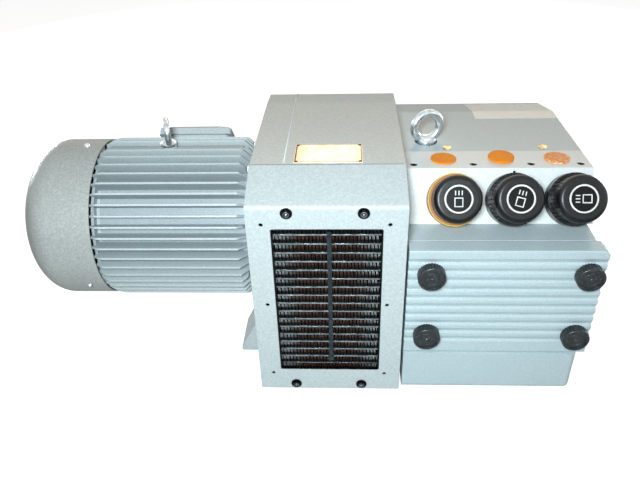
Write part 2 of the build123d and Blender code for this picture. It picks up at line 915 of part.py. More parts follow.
with BuildPart() as rating_plate:
    block(
        (plate_left, plate_front, hood_top),
        (plate_left + plate_length, plate_front + plate_width, hood_top + plate_thickness),
    )
save(rating_plate, "rating_plate")


# Air cooler: frame, tube plates, fin rows and the fixing bar
frame_left = window_left + cooler_overlap
frame_right = window_left + window_width - cooler_overlap
tube_low = tube_top - (tube_count - 1) * tube_pitch
frame_low = tube_low - tube_pitch + tube_thickness / 2
frame_high = window_bottom + window_height - cooler_overlap
with BuildPart() as cooler_frame:
    block(
        (frame_left - cooler_frame_wall, hood_front + hood_sheet, frame_low - cooler_frame_wall),
        (frame_right + cooler_frame_wall, cooler_back, frame_high + cooler_frame_wall),
    )
    block(
        (frame_left, hood_front, frame_low),
        (frame_right, 0, frame_high),
        mode=Mode.SUBTRACT,
    )
save(cooler_frame, "cooler_frame")

with BuildPart() as cooler_tubes:
    for index in range(tube_count):
        tube_z = tube_top - index * tube_pitch
        block(
            (frame_left, tube_front, tube_z - tube_thickness / 2),
            (frame_right, tube_front + tube_depth, tube_z + tube_thickness / 2),
        )
save(cooler_tubes, "cooler_tubes")


def fin_row(low, high):
    """Draw the face of one folded fin strip between two tubes."""
    fold = (frame_right - frame_left) / (2 * fin_folds)
    crest = [
        (frame_left + index * fold, high if index % 2 else low + fin_sheet)
        for index in range(2 * fin_folds + 1)
    ]
    trough = [(x, z - fin_sheet) for x, z in reversed(crest)]
    Polygon(*crest, *trough, align=None)


with BuildPart() as cooler_fins:
    with BuildSketch(front_plane.offset(-tube_front - fin_row_inset)):
        for index in range(tube_count + 1):
            row_low = tube_top - index * tube_pitch + tube_thickness / 2
            row_high = frame_high if index == 0 else row_low + tube_pitch - tube_thickness
            fin_row(row_low, row_high)
    extrude(amount=2 * fin_row_inset - tube_depth)
save(cooler_fins, "cooler_fins")

with BuildPart() as cooler_bar:
    block(
        (bar_x - bar_width / 2, tube_front - bar_thickness, bar_bottom),
        (bar_x + bar_width / 2, tube_front, bar_top),
    )
    with BuildSketch(front_plane.offset(-tube_front + bar_thickness)):
        with Locations((bar_x, bar_bottom + bar_width)):
            Circle(bar_width / 2 + 1)
    extrude(amount=2)
save(cooler_bar, "cooler_bar")


# Pump cylinder, bored off the shaft axis, with ring ribs and the eyebolt's boss
bore_plane = Plane(
    origin=(0, 0, shaft_height + cylinder_rise), x_dir=(0, 1, 0), z_dir=(1, 0, 0)
)
cylinder_outer = cylinder_bore + cylinder_wall
with BuildPart() as cylinder:
    with BuildSketch(bore_plane.offset(cylinder_start)):
        Circle(cylinder_outer)
    extrude(amount=cylinder_length)
    rib_gap = (cylinder_length - cylinder_rib_count * cylinder_rib_width) / cylinder_rib_count
    for index in range(cylinder_rib_count):
        rib_start = cylinder_start + rib_gap / 2 + index * (rib_gap + cylinder_rib_width)
        with BuildSketch(bore_plane.offset(rib_start)):
            Circle(cylinder_outer + cylinder_rib_height)
        extrude(amount=cylinder_rib_width)
    with Locations((pump_eye_x, 0, shaft_height)):
        Cylinder(
            pump_eye_boss,
            pump_eye_seat - shaft_height,
            align=(Align.CENTER, Align.CENTER, Align.MIN),
        )
    with BuildSketch(bore_plane.offset(cylinder_start)):
        Circle(cylinder_bore)
    extrude(amount=cylinder_length, mode=Mode.SUBTRACT)
    with Locations((pump_eye_x, 0, pump_eye_seat)):
        Hole(pump_eye_thread + seat_gap, depth=pump_eye_thread_length + 1)
save(cylinder, "cylinder")


def pump_cover(start):
    """Build a pump end plate with its bearing seat."""
    with BuildPart() as cover:
        with BuildSketch(side_plane.offset(start)):
            with Locations((0, (cover_bottom + cover_top) / 2)):
                RectangleRounded(2 * cover_half_width, cover_top - cover_bottom, cover_corner)
        extrude(amount=cover_plate)
        ring(start, start + cover_plate, pump_bearing_outer + seat_gap, mode=Mode.SUBTRACT)
    return cover


drive_cover = pump_cover(pump_start)
save(drive_cover, "drive_cover")

with BuildPart() as end_cover:
    add(pump_cover(end_cover_start).part)
    ring(end_cover_end, end_cover_end + end_cap_thickness, end_cap_radius)
save(end_cover, "end_cover")

with BuildPart() as pump_bearings:
    for start in (pump_start, end_cover_start):
        bearing_start = start + (cover_plate - pump_bearing_width) / 2
        ring(
            bearing_start,
            bearing_start + pump_bearing_width,
            pump_bearing_outer,
            pump_shaft_radius + running_gap,
        )
save(pump_bearings, "pump_bearings")


# Pump rotor with its shaft, and the vanes in their slots
with BuildPart() as pump_rotor:
    rotor_start = cylinder_start + rotor_end_gap
    rotor_end = cylinder_start + cylinder_length - rotor_end_gap
    ring(rotor_start, rotor_end, rotor_radius)
    with BuildSketch(shaft_plane.offset(rotor_start)):
        with PolarLocations(rotor_radius - vane_depth / 2 + 1, vane_count):
            Rectangle(vane_depth + 2, vane_slot)
    extrude(amount=rotor_end - rotor_start, mode=Mode.SUBTRACT)
    ring(pump_hub_start, end_cover_end - 1, pump_shaft_radius)
save(pump_rotor, "pump_rotor")

with BuildPart() as vanes:
    with BuildSketch(shaft_plane.offset(rotor_start)):
        with PolarLocations(rotor_radius - vane_depth / 2, vane_count):
            Rectangle(vane_depth - 1, vane_thickness)
    extrude(amount=rotor_end - rotor_start)
save(vanes, "vanes")


# Bracket under the pump end
with BuildPart() as pump_bracket:
    pump_foot_x = foot_spacing_x / 2
    bracket_end = end_cover_end
    prism(
        [
            (-bracket_half, buffer_height),
            (bracket_half, buffer_height),
            (bracket_half, buffer_height + bracket_foot_height),
            (cover_half_width - cover_corner, cover_bottom),
            (-cover_half_width + cover_corner, cover_bottom),
            (-bracket_half, buffer_height + bracket_foot_height),
        ],
        bracket_end - bracket_length,
        bracket_end,
    )
    prism(
        [
            (-bracket_arch_half, buffer_height),
            (bracket_arch_half, buffer_height),
            (bracket_arch_half - 12, buffer_height + bracket_arch_height),
            (-bracket_arch_half + 12, buffer_height + bracket_arch_height),
        ],
        bracket_end - bracket_length,
        bracket_end,
        mode=Mode.SUBTRACT,
    )
save(pump_bracket, "pump_bracket")


# Filter housing: a casting with a pocket for each cartridge
thumb_middle_x = thumb_x + thumb_spacing_x / 2
thumb_middle_z = thumb_z + thumb_spacing_z / 2
with BuildPart() as filter_housing:
    prism(
        [
            (housing_front, housing_bottom),
            (housing_front, housing_step),
            (housing_seat, housing_step),
            (housing_seat, housing_top),
            (housing_back, housing_top),
            (housing_back, housing_heel_top),
            (housing_heel, housing_bottom),
        ],
        unit_left,
        housing_right,
    )
    front_corners = filter_housing.edges().filter_by(Axis.Z).group_by(Axis.X)[-1]
    fillet(front_corners.sort_by(Axis.Y)[0], housing_corner)
    lower_corner = filter_housing.edges().filter_by(Axis.Y).group_by(Axis.Z)[0].sort_by(Axis.X)[-1]
    fillet(lower_corner, housing_corner)
    for index in range(2):
        left = pocket_left + index * pocket_pitch
        block(
            (left, housing_seat - 1, pocket_bottom),
            (left + pocket_width, housing_seat + pocket_depth, pocket_bottom + pocket_height),
            mode=Mode.SUBTRACT,
        )
    with BuildSketch(front_plane.offset(-housing_seat)):
        with Locations((thumb_middle_x, thumb_middle_z)):
            with GridLocations(thumb_spacing_x, thumb_spacing_z, 2, 2):
                Circle(thumb_stud + body_gap)
    extrude(amount=-thumb_stud_length, mode=Mode.SUBTRACT)
save(filter_housing, "filter_housing")

with BuildPart() as filter_cartridges:
    for index in range(2):
        left = pocket_left + index * pocket_pitch
        block(
            (left + seat_gap, housing_seat + cover_gap, pocket_bottom + seat_gap),
            (
                left + pocket_width - seat_gap,
                housing_seat + pocket_depth - seat_gap,
                pocket_bottom + pocket_height - seat_gap,
            ),
        )
save(filter_cartridges, "filter_cartridges")


# Filter cover: a ribbed pan, and the gasket behind it
with BuildPart() as filter_cover:
    block(
        (unit_left, filter_cover_front, filter_cover_bottom),
        (unit_right, filter_cover_back, housing_top),
    )
    corner = filter_cover.edges().filter_by(Axis.Y).group_by(Axis.Z)[-1].sort_by(Axis.X)[-1]
    chamfer(corner, cover_corner_cut)
    fillet(filter_cover.edges().filter_by(Axis.X).group_by(Axis.Z)[-1].sort_by(Axis.Y)[0], 2)
    for index in range(rib_count):
        groove = rib_bottom + index * rib_pitch + rib_crest_width / 2
        prism(
            [
                (filter_cover_front - 1, groove),
                (filter_cover_front, groove),
                (filter_cover_front + rib_groove_depth, groove + rib_groove_width / 3),
                (filter_cover_front + rib_groove_depth, groove + rib_groove_width * 2 / 3),
                (filter_cover_front, groove + rib_groove_width * 2),
                (filter_cover_front - 1, groove + rib_groove_width * 2),
            ],
            unit_left,
            unit_right,
            mode=Mode.SUBTRACT,
        )
    inside = gasket_width + gasket_inset
    block(
        (
            unit_left + inside + thumb_stud,
            filter_cover_front + rib_groove_depth + cover_shell,
            filter_cover_bottom + inside,
        ),
        (housing_right - inside - thumb_stud, filter_cover_back, housing_top - inside),
        mode=Mode.SUBTRACT,
    )
    with BuildSketch(front_plane.offset(-filter_cover_back)):
        with Locations((thumb_middle_x, thumb_middle_z)):
            with GridLocations(thumb_spacing_x, thumb_spacing_z, 2, 2):
                Circle(thumb_stud * 2)
    extrude(amount=filter_cover_back - filter_cover_front)
    with BuildSketch(front_plane.offset(-filter_cover_back)):
        with Locations((thumb_middle_x, thumb_middle_z)):
            with GridLocations(thumb_spacing_x, thumb_spacing_z, 2, 2):
                Circle(thumb_stud + body_gap)
    extrude(amount=filter_cover_back - filter_cover_front, mode=Mode.SUBTRACT)
save(filter_cover, "filter_cover")

with BuildPart() as cover_gasket:
    block(
        (unit_left + gasket_inset, filter_cover_back, filter_cover_bottom + gasket_inset),
        (housing_right - gasket_inset, gasket_back, housing_top - gasket_inset),
    )
    block(
        (unit_left + inside, filter_cover_back, filter_cover_bottom + inside),
        (housing_right - inside, gasket_back, housing_top - inside),
        mode=Mode.SUBTRACT,
    )
    with BuildSketch(front_plane.offset(-gasket_back)):
        with Locations((thumb_middle_x, thumb_middle_z)):
            with GridLocations(thumb_spacing_x, thumb_spacing_z, 2, 2):
                Circle(thumb_stud + body_gap)
    extrude(amount=gasket_thickness, mode=Mode.SUBTRACT)
save(cover_gasket, "cover_gasket")


def thumb_screw(x, z):
    """Build one fluted thumb screw with its stud, square to the cover."""
    seat = -filter_cover_front + body_gap
    with BuildPart() as screw:
        with BuildSketch(front_plane.offset(seat)):
            with Locations((x, z)):
                Circle(thumb_radius)
        extrude(amount=thumb_height)
        rim = screw.edges().filter_by(GeomType.CIRCLE).sort_by(Axis.Y)[0]
        fillet(rim, 2.5)
        with BuildSketch(front_plane.offset(seat + thumb_height - thumb_dish_depth)):
            with Locations((x, z)):
                Circle(thumb_dish)
        extrude(amount=thumb_dish_depth, mode=Mode.SUBTRACT)
        with BuildSketch(front_plane.offset(seat)):
            with Locations((x, z)):
                with PolarLocations(thumb_radius, thumb_flutes):
                    RegularPolygon(thumb_flute_radius, 4)
        extrude(amount=thumb_height - 1, mode=Mode.SUBTRACT)
        with BuildSketch(front_plane.offset(seat - thumb_stud_length)):
            with Locations((x, z)):
                Circle(thumb_stud)
        extrude(amount=thumb_stud_length)
    return screw


for index, (dx, dz) in enumerate([(0, 1), (1, 1), (0, 0), (1, 0)]):
    screw_piece = thumb_screw(thumb_x + dx * thumb_spacing_x, thumb_z + dz * thumb_spacing_z)
    save(screw_piece, f"thumb_screw_{index + 1}")


def panel_plane(index):
    """Give the plane of one regulator, on the slanted panel with its normal outwards."""
    middle = panel_foot + panel_rise * knob_up_panel
    return Plane(
        origin=(knob_x + index * knob_pitch, middle.Y, middle.Z),
        x_dir=(1, 0, 0),
        z_dir=panel_normal,
    )


# Valve block with ports on top, regulator bores in front and screw wells
with BuildPart() as valve_block:
    prism(
        [
            (block_foot, housing_top),
            (block_crest, block_top),
            (block_back, block_top),
            (block_back, block_top - top_sheet - seat_gap),
            (block_back + block_ledge, block_top - top_sheet - seat_gap),
            (block_back + block_ledge, cover_top),
            (housing_back, cover_top),
            (housing_back, housing_top),
        ],
        unit_left,
        block_right,
    )
    for index in range(3):
        with Locations((port_x + index * port_pitch, port_y, block_top)):
            Hole(port_thread_radius)
        with BuildSketch(panel_plane(index)):
            Circle(spindle_radius + running_gap)
        extrude(amount=-spindle_bore_depth, mode=Mode.SUBTRACT)
    for x in block_screw_places:
        with Locations((x, block_screw_y, block_top)):
            Hole(block_screw_hole, depth=block_screw_depth)
save(valve_block, "valve_block")

with BuildPart() as block_screws:
    for x in block_screw_places:
        with Locations((x, block_screw_y, block_top - block_screw_depth)):
            Cylinder(
                block_screw_radius,
                block_screw_depth - 1,
                align=(Align.CENTER, Align.CENTER, Align.MIN),
            )
        with BuildSketch(Plane.XY.offset(block_top - 1)):
            with Locations((x, block_screw_y)):
                RegularPolygon(block_screw_socket, 6)
        extrude(amount=-block_screw_socket_depth, mode=Mode.SUBTRACT)
save(block_screws, "block_screws")


def regulator_sleeve(index):
    """Build the fixed sleeve round one regulator's stem."""
    plane = panel_plane(index)
    with BuildPart() as sleeve:
        with BuildSketch(plane):
            Circle(sleeve_foot_radius)
        extrude(amount=sleeve_foot_height)
        with BuildSketch(plane.offset(sleeve_foot_height)):
            Circle(sleeve_radius)
        extrude(amount=sleeve_height - sleeve_foot_height)
        with BuildSketch(plane):
            Circle(spindle_radius + body_gap)
        extrude(amount=sleeve_height, mode=Mode.SUBTRACT)
    return sleeve


save(regulator_sleeve(0), "regulator_sleeve_left")

with BuildPart() as regulator_sleeves:
    add(regulator_sleeve(1).part)
    add(regulator_sleeve(2).part)
save(regulator_sleeves, "regulator_sleeves")


def regulator_knob(index):
    """Build one regulator knob: a fluted cap with a sunk emblem place."""
    plane = panel_plane(index)
    start = sleeve_height + body_gap
    with BuildPart() as knob:
        with BuildSketch(plane.offset(start)):
            Circle(knob_radius)
        extrude(amount=knob_height - start)
        top_edge = knob.edges().filter_by(GeomType.CIRCLE).sort_by(Axis(plane.origin, plane.z_dir))[-1]
        fillet(top_edge, knob_edge)
        with BuildSketch(plane.offset(start)):
            with PolarLocations(knob_radius, knob_flutes):
                RegularPolygon(knob_flute_radius, 4)
        extrude(amount=knob_height - start - knob_edge, mode=Mode.SUBTRACT)
        with BuildSketch(plane.offset(knob_height - emblem_depth)):
            Circle(emblem_radius)
        extrude(amount=emblem_depth, mode=Mode.SUBTRACT)
        with BuildSketch(plane):
            Circle(spindle_radius)
        extrude(amount=sleeve_height + spindle_in_knob, mode=Mode.SUBTRACT)
    return knob


def regulator_spindle(index):
    """Build one regulator's spindle, from its bore in the block into the knob."""
    plane = panel_plane(index)
    with BuildPart() as spindle:
        with BuildSketch(plane.offset(-spindle_depth)):
            Circle(spindle_radius)
        extrude(amount=spindle_depth + sleeve_height + spindle_in_knob)
    return spindle


for index, place in enumerate(("left", "middle", "right")):
    save(regulator_knob(index), f"regulator_knob_{place}")
    save(regulator_spindle(index), f"regulator_spindle_{place}")


# Transport caps over the ports
for index, place in enumerate(("left", "middle", "right")):
    with BuildPart() as port_cap:
        with Locations((port_x + index * port_pitch, port_y, block_top + body_gap)):
            Cylinder(
                port_cap_radius,
                port_cap_height,
                align=(Align.CENTER, Align.CENTER, Align.MIN),
            )
        chamfer(port_cap.edges().group_by(Axis.Z)[-1], port_cap_edge)
    save(port_cap, f"port_cap_{place}")


# Top cover: a bent sheet over the pump with louvres in its end
with BuildPart() as top_cover:
    front_top = block_back + seat_gap
    prism(
        [
            (front_top, block_top),
            (top_back, block_top),
            (strip_back, strip_top),
            (strip_back, top_cover_bottom),
            (housing_back + body_gap, top_cover_bottom),
            (housing_back + body_gap, cover_top - seat_gap),
            (front_top + block_ledge, cover_top - seat_gap),
            (front_top + block_ledge, block_top - top_sheet),
            (front_top, block_top - top_sheet),
        ],
        unit_left,
        block_right,
    )
    prism(
        [
            (front_top - 1, block_top - top_sheet),
            (top_back - top_sheet / 4, block_top - top_sheet),
            (strip_back - top_sheet, strip_top - top_sheet),
            (strip_back - top_sheet, top_cover_bottom - 1),
            (housing_back - 1, top_cover_bottom - 1),
            (housing_back - 1, block_top - top_sheet),
        ],
        unit_left + top_sheet,
        block_right - top_sheet,
        mode=Mode.SUBTRACT,
    )
    ring(unit_left - 1, unit_left + 2 * top_sheet, cover_half_width, mode=Mode.SUBTRACT)
    for index in range(louvre_count):
        block(
            (block_right - 2 * top_sheet, louvre_y - louvre_width / 2, louvre_bottom + index * louvre_pitch),
            (
                block_right + 1,
                louvre_y + louvre_width / 2,
                louvre_bottom + index * louvre_pitch + louvre_height,
            ),
            mode=Mode.SUBTRACT,
        )
    with Locations((pump_eye_x, 0, block_top)):
        Hole(eye_hole_radius, depth=2 * top_sheet)
save(top_cover, "top_cover")

with BuildPart() as top_cover_screws:
    with BuildSketch(Plane.XY.offset(block_top)):
        with Locations((cover_screw_x, cover_screw_y), (cover_screw_x + cover_screw_pitch, cover_screw_y)):
            Circle(cover_screw_head)
    extrude(amount=cover_screw_height, taper=15)
save(top_cover_screws, "top_cover_screws")

pump_eyebolt = eyebolt(
    (pump_eye_x, 0, pump_eye_seat),
    (-sin(radians(pump_eye_turn)), cos(radians(pump_eye_turn)), 0),
    pump_eye_outer,
    pump_eye_wire,
    pump_eye_height,
    pump_eye_collar,
    pump_eye_thread,
    pump_eye_thread_length,
)
save(pump_eyebolt, "pump_eyebolt")
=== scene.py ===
"""An oil-free rotary vane air pump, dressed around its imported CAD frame.

The pieces are grouped as the machine is: the motor, the cooler's hood, the pump unit with its filter box,
the regulators and the inner drive. Lengths in the classes are millimetres and become metres in the meshes.
"""

import logging
import math
from dataclasses import dataclass, field
from enum import Enum

import bpy
import numpy as np
from mathutils import Matrix, Vector


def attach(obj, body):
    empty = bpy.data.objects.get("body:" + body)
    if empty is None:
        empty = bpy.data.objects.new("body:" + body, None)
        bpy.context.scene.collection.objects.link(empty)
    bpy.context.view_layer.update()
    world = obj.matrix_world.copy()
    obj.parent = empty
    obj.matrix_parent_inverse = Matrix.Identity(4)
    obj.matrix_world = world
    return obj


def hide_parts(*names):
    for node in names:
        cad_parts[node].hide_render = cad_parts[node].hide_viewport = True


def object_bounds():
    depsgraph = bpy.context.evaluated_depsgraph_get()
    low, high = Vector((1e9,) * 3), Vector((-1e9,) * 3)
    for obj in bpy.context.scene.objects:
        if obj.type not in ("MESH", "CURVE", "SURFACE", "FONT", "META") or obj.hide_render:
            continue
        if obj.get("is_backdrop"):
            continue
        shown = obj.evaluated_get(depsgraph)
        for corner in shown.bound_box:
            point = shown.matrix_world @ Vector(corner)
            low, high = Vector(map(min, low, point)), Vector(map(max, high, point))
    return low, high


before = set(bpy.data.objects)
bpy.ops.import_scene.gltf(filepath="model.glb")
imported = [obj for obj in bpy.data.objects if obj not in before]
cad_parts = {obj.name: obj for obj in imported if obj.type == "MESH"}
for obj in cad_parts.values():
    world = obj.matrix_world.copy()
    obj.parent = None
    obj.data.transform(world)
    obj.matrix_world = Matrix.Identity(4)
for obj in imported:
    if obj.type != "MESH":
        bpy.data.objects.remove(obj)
cad_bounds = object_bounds()

log = logging.getLogger("air_pump")

MM = 0.001
IMAGE_WIDTH = 640
WHITE = (1.0, 1.0, 1.0, 1.0)
FRONT = (0.0, -1.0, 0.0)
UP = (0.0, 0.0, 1.0)
AXIS_RADIUS = 0.05

Pair = tuple[float, float]
Point = tuple[float, float, float]
Profile = tuple[Pair, ...]
Stops = tuple[tuple[float, str], ...]
Mesh = tuple[np.ndarray, list]
Socket = bpy.types.NodeSocket


def to_linear(code: str) -> tuple[float, float, float, float]:
    """Turn an sRGB hex colour into linear light.

    Args:
        code: six hex digits, such as "c8d2d4".

    Returns:
        Red, green, blue and an alpha of 1: c / 12.92 below 0.04045, else ((c + 0.055) / 1.055) ** 2.4.
    """
    raw = np.array([int(code[i:i + 2], 16) for i in (0, 2, 4)]) / 255.0
    linear = np.where(raw <= 0.04045, raw / 12.92, ((raw + 0.055) / 1.055) ** 2.4)
    return (*[float(v) for v in linear], 1.0)


def add(tree: bpy.types.NodeTree, kind: str, output: str | int = 0, inputs: dict | None = None,
        stops: Stops = (), **settings: object) -> Socket | None:
    """Add one node with its settings, its inputs, its links and a colour ramp's stops.

    Args:
        tree: the node tree that gets the node.
        kind: the node's type name, after "ShaderNode".
        output: the name or index of the output that is wanted.
        inputs: numbers, hex colours or output sockets, by the input's name or index.
        stops: places along a colour ramp, with their hex colours.
        settings: properties of the node itself.

    Returns:
        The output's socket, or None for a node without outputs.
    """
    node = tree.nodes.new("ShaderNode" + kind)
    for name, value in settings.items():
        setattr(node, name, value)
    for name, value in (inputs or {}).items():
        if isinstance(value, Socket):
            tree.links.new(value, node.inputs[name])
        else:
            node.inputs[name].default_value = to_linear(value) if isinstance(value, str) else value
    while stops and len(node.color_ramp.elements) < len(stops):
        node.color_ramp.elements.new(0.5)
    for index, (place, code) in enumerate(stops):
        node.color_ramp.elements[index].position = place
        node.color_ramp.elements[index].color = to_linear(code)
    return node.outputs[output] if node.outputs else None


def over(value: Socket, low: float, high: float, start: float = 0.3, end: float = 0.7) -> dict:
    """Give a map range's inputs that carry start..end, by default a pattern's middle, over to low..high."""
    return {"Value": value, "From Min": start, "From Max": end, "To Min": low, "To Max": high}


class Shader:
    """A material with a Principled surface and the object's own coordinates."""

    def __init__(self, name: str, **constants: object) -> None:
        """Start a node material whose constant numbers sit on the shader's own sockets.

        Args:
            name: the material's name.
            constants: numbers for the shader's sockets, with a line for each space in a socket's name.
        """
        self.material = bpy.data.materials.new(name)
        self.material.use_nodes = True
        self.tree = self.material.node_tree
        self.surface = self.tree.nodes["Principled BSDF"]
        for socket, value in constants.items():
            self.surface.inputs[socket.replace("_", " ")].default_value = value
        self.place = self.add("TexCoord", "Object")

    def add(self, kind: str, output: str | int, inputs: dict | None = None, **settings: object) -> Socket:
        """Add one node to this material, in the way of the function of this name."""
        return add(self.tree, kind, output, inputs, **settings)

    def lumps(self, size_mm: float, **more: float) -> dict:
        """Give the inputs of a pattern whose lumps are about size_mm across."""
        return {"Vector": self.place, "Scale": 1 / (size_mm * MM), **more}

    def finished(self, colour: Socket, roughness: Socket | None, height: Socket, depth_mm: float,
                 strength: float = 1.0, edge_mm: float = 0.0) -> bpy.types.Material:
        """Link a finish's patterns to the surface.

        Args:
            colour: the base colour.
            roughness: the roughness, or None where it is a constant.
            height: the relief's height pattern.
            depth_mm: how high the relief is.
            strength: the relief's share.
            edge_mm: how far the edges are softened.

        Returns:
            The finished material.
        """
        relief = {"Height": height, "Distance": depth_mm * MM, "Strength": strength}
        if edge_mm > 0:
            relief["Normal"] = self.add("Bevel", "Normal", {"Radius": edge_mm * MM}, samples=4)
        self.tree.links.new(self.add("Bump", "Normal", relief), self.surface.inputs["Normal"])
        self.tree.links.new(colour, self.surface.inputs["Base Color"])
        if roughness is not None:
            self.tree.links.new(roughness, self.surface.inputs["Roughness"])
        return self.material


@dataclass(frozen=True)
class HammerPaint:
    """Stoved hammer enamel: aluminium flake in a glossy film that draws up into small round dimples.

    To the eye it is a silvery grey with lighter rims and darker pits, and a broken, soft highlight. The
    flakes are drawn 0.5 mm across, about ten times their size, so that they show in the render.
    """

    name: str
    crest: str
    pit: str
    dimple_mm: float
    depth_mm: float
    metallic: float = 0.06
    roughness: float = 0.42
    edge_mm: float = 1.0
    coat: float = 0.12
    coat_roughness: float = 0.22
    specular: float = 0.15
    flake_mm: float = 0.5
    flake_share: float = 0.12
    cloud_mm: float = 90.0
    cloud_share: float = 0.12

    def build(self) -> bpy.types.Material:
        """Build the node material.

        Returns:
            The finished material.
        """
        s = Shader(self.name, Metallic=self.metallic, Specular_IOR_Level=self.specular,
                   Coat_Weight=self.coat, Coat_Roughness=self.coat_roughness)
        dimple = s.add("TexVoronoi", "Distance", s.lumps(self.dimple_mm, Smoothness=0.7), feature="SMOOTH_F1")
        lump = s.add("TexNoise", "Fac", s.lumps(self.dimple_mm * 1.6))
        flake = s.add("TexNoise", "Fac", s.lumps(self.flake_mm, Detail=1.0))
        cloud = s.add("TexNoise", "Fac", s.lumps(self.cloud_mm, Detail=3.0))
        deep = s.add("Math", 0, {0: dimple, 1: 0.5}, operation="MULTIPLY")
        wide = s.add("Math", 0, {0: lump, 1: 0.6}, operation="MULTIPLY")
        tone = s.add("Math", 0, {0: deep, 1: wide}, operation="ADD")
        plain = s.add("ValToRGB", "Color", {"Fac": tone}, stops=((0.35, self.pit), (0.72, self.crest)))
        share = s.add("MapRange", "Result", over(flake, 0.0, self.flake_share))
        film = {0: share, 6: self.film(s, plain), 7: "ffffff"}
        sparkle = s.add("Mix", 2, film, data_type="RGBA", blend_type="OVERLAY")
        share = s.add("MapRange", "Result", over(cloud, 0.0, self.cloud_share))
        colour = s.add("Mix", 2, {0: share, 6: sparkle, 7: self.pit}, data_type="RGBA")
        gloss = s.add("MapRange", "Result", over(lump, self.roughness - 0.06, self.roughness + 0.08))
        return s.finished(colour, gloss, tone, self.depth_mm, 1.0, self.edge_mm)

    def film(self, s: Shader, plain: Socket) -> Socket:
        """Give the film's colour, here the plain one."""
        return plain


@dataclass(frozen=True)
class RibbedPaint(HammerPaint):
    """Enamel on cooling fins, with painted shade darkening it towards the valleys and a painted highlight
    lightening the fins' tips.

    The place on a fin is the distance from the shaft's axis, sqrt(y ** 2 + (z - shaft) ** 2), in metres.
    """

    shaft: float = 0.235
    valley: float = 0.115
    tip: float = 0.1296
    # painted shade in the valleys between the fins and a painted highlight, up to white, on the fins' tips
    painted_shade_and_highlight: Stops = ((0.0, "ccced0"), (0.75, "dcdedf"), (0.94, "e8eaea"), (1.0, "ffffff"))

    def film(self, s: Shader, plain: Socket) -> Socket:
        """Darken the plain film towards the valleys with painted shade and lighten the tips with a painted
        highlight.

        Args:
            s: the material's shader.
            plain: the film's plain colour.

        Returns:
            The film's colour.
        """
        across = s.add("SeparateXYZ", "Y", {"Vector": s.place})
        height = s.add("SeparateXYZ", "Z", {"Vector": s.place})
        rise = s.add("Math", 0, {0: height, 1: self.shaft}, operation="SUBTRACT")
        across_square = s.add("Math", 0, {0: across, 1: across}, operation="MULTIPLY")
        rise_square = s.add("Math", 0, {0: rise, 1: rise}, operation="MULTIPLY")
        square = s.add("Math", 0, {0: across_square, 1: rise_square}, operation="ADD")
        radius = s.add("Math", 0, {0: square}, operation="SQRT")
        place = s.add("MapRange", "Result", over(radius, 0.0, 1.0, self.valley, self.tip))
        # this ramp paints shade into the valleys and a highlight onto the tips
        painted_shade_and_highlight = s.add("ValToRGB", "Color", {"Fac": place}, stops=self.painted_shade_and_highlight)
        return s.add("Mix", 2, {0: 1.0, 6: plain, 7: painted_shade_and_highlight}, data_type="RGBA", blend_type="MULTIPLY")


@dataclass(frozen=True)
class Metal:
    """A bare or plated metal: turned, ground or rolled, with faint clouds and a fine grain in its gloss."""

    name: str
    colour: str
    shade: str
    roughness: float
    grain_mm: float = 0.6
    depth_mm: float = 0.01
    edge_mm: float = 0.3
    cloud_mm: float = 8.0

    def build(self) -> bpy.types.Material:
        """Build the node material.

        Returns:
            The finished material.
        """
        s = Shader(self.name, Metallic=1.0)
        cloud = s.add("TexNoise", "Fac", s.lumps(self.cloud_mm, Detail=3.0))
        grain = s.add("TexNoise", "Fac", s.lumps(self.grain_mm))
        colour = s.add("ValToRGB", "Color", {"Fac": cloud}, stops=((0.35, self.shade), (0.62, self.colour)))
        gloss = s.add("MapRange", "Result", over(grain, self.roughness - 0.05, self.roughness + 0.1))
        return s.finished(colour, gloss, grain, self.depth_mm, 0.6, self.edge_mm)


@dataclass(frozen=True)
class CastPaint:
    """Sand-cast iron under a thin machine enamel: a pebbled skin with dust in its hollows."""

    name: str
    colour: str
    dust: str
    pebble_mm: float = 2.2
    depth_mm: float = 0.12
    metallic: float = 0.2
    roughness: float = 0.5
    edge_mm: float = 0.8

    def build(self) -> bpy.types.Material:
        """Build the node material.

        Returns:
            The finished material.
        """
        s = Shader(self.name, Metallic=self.metallic)
        pebble = s.add("TexNoise", "Fac", s.lumps(self.pebble_mm, Detail=3.0, Roughness=0.6))
        colour = s.add("ValToRGB", "Color", {"Fac": pebble}, stops=((0.33, self.dust), (0.6, self.colour)))
        gloss = s.add("MapRange", "Result", over(pebble, self.roughness + 0.1, self.roughness - 0.05))
        return s.finished(colour, gloss, pebble, self.depth_mm, 0.8, self.edge_mm)


@dataclass(frozen=True)
class Moulding:
    """Injection-moulded plastic: a fine spark-eroded skin, slightly scuffed and dusty, with a soft sheen.

    The skin's pits are drawn 0.5 mm across, coarser than the real ones, so that they show in the render.
    """

    name: str
    colour: str
    scuff: str
    roughness: float
    scuff_share: float = 0.25
    skin_mm: float = 0.5
    depth_mm: float = 0.02
    edge_mm: float = 0.4
    specular: float = 0.5
    scuff_mm: float = 3.5

    def build(self) -> bpy.types.Material:
        """Build the node material.

        Returns:
            The finished material.
        """
        s = Shader(self.name, IOR=1.5, Specular_IOR_Level=self.specular)
        scuffs = s.add("TexNoise", "Fac", s.lumps(self.scuff_mm, Detail=6.0, Roughness=0.7))
        skin = s.add("TexNoise", "Fac", s.lumps(self.skin_mm))
        share = s.add("MapRange", "Result", over(scuffs, 0.0, self.scuff_share, 0.5, 0.75))
        colour = s.add("Mix", 2, {0: share, 6: self.colour, 7: self.scuff}, data_type="RGBA")
        gloss = s.add("MapRange", "Result", over(scuffs, self.roughness - 0.05, self.roughness + 0.12))
        return s.finished(colour, gloss, skin, self.depth_mm, 0.6, self.edge_mm)


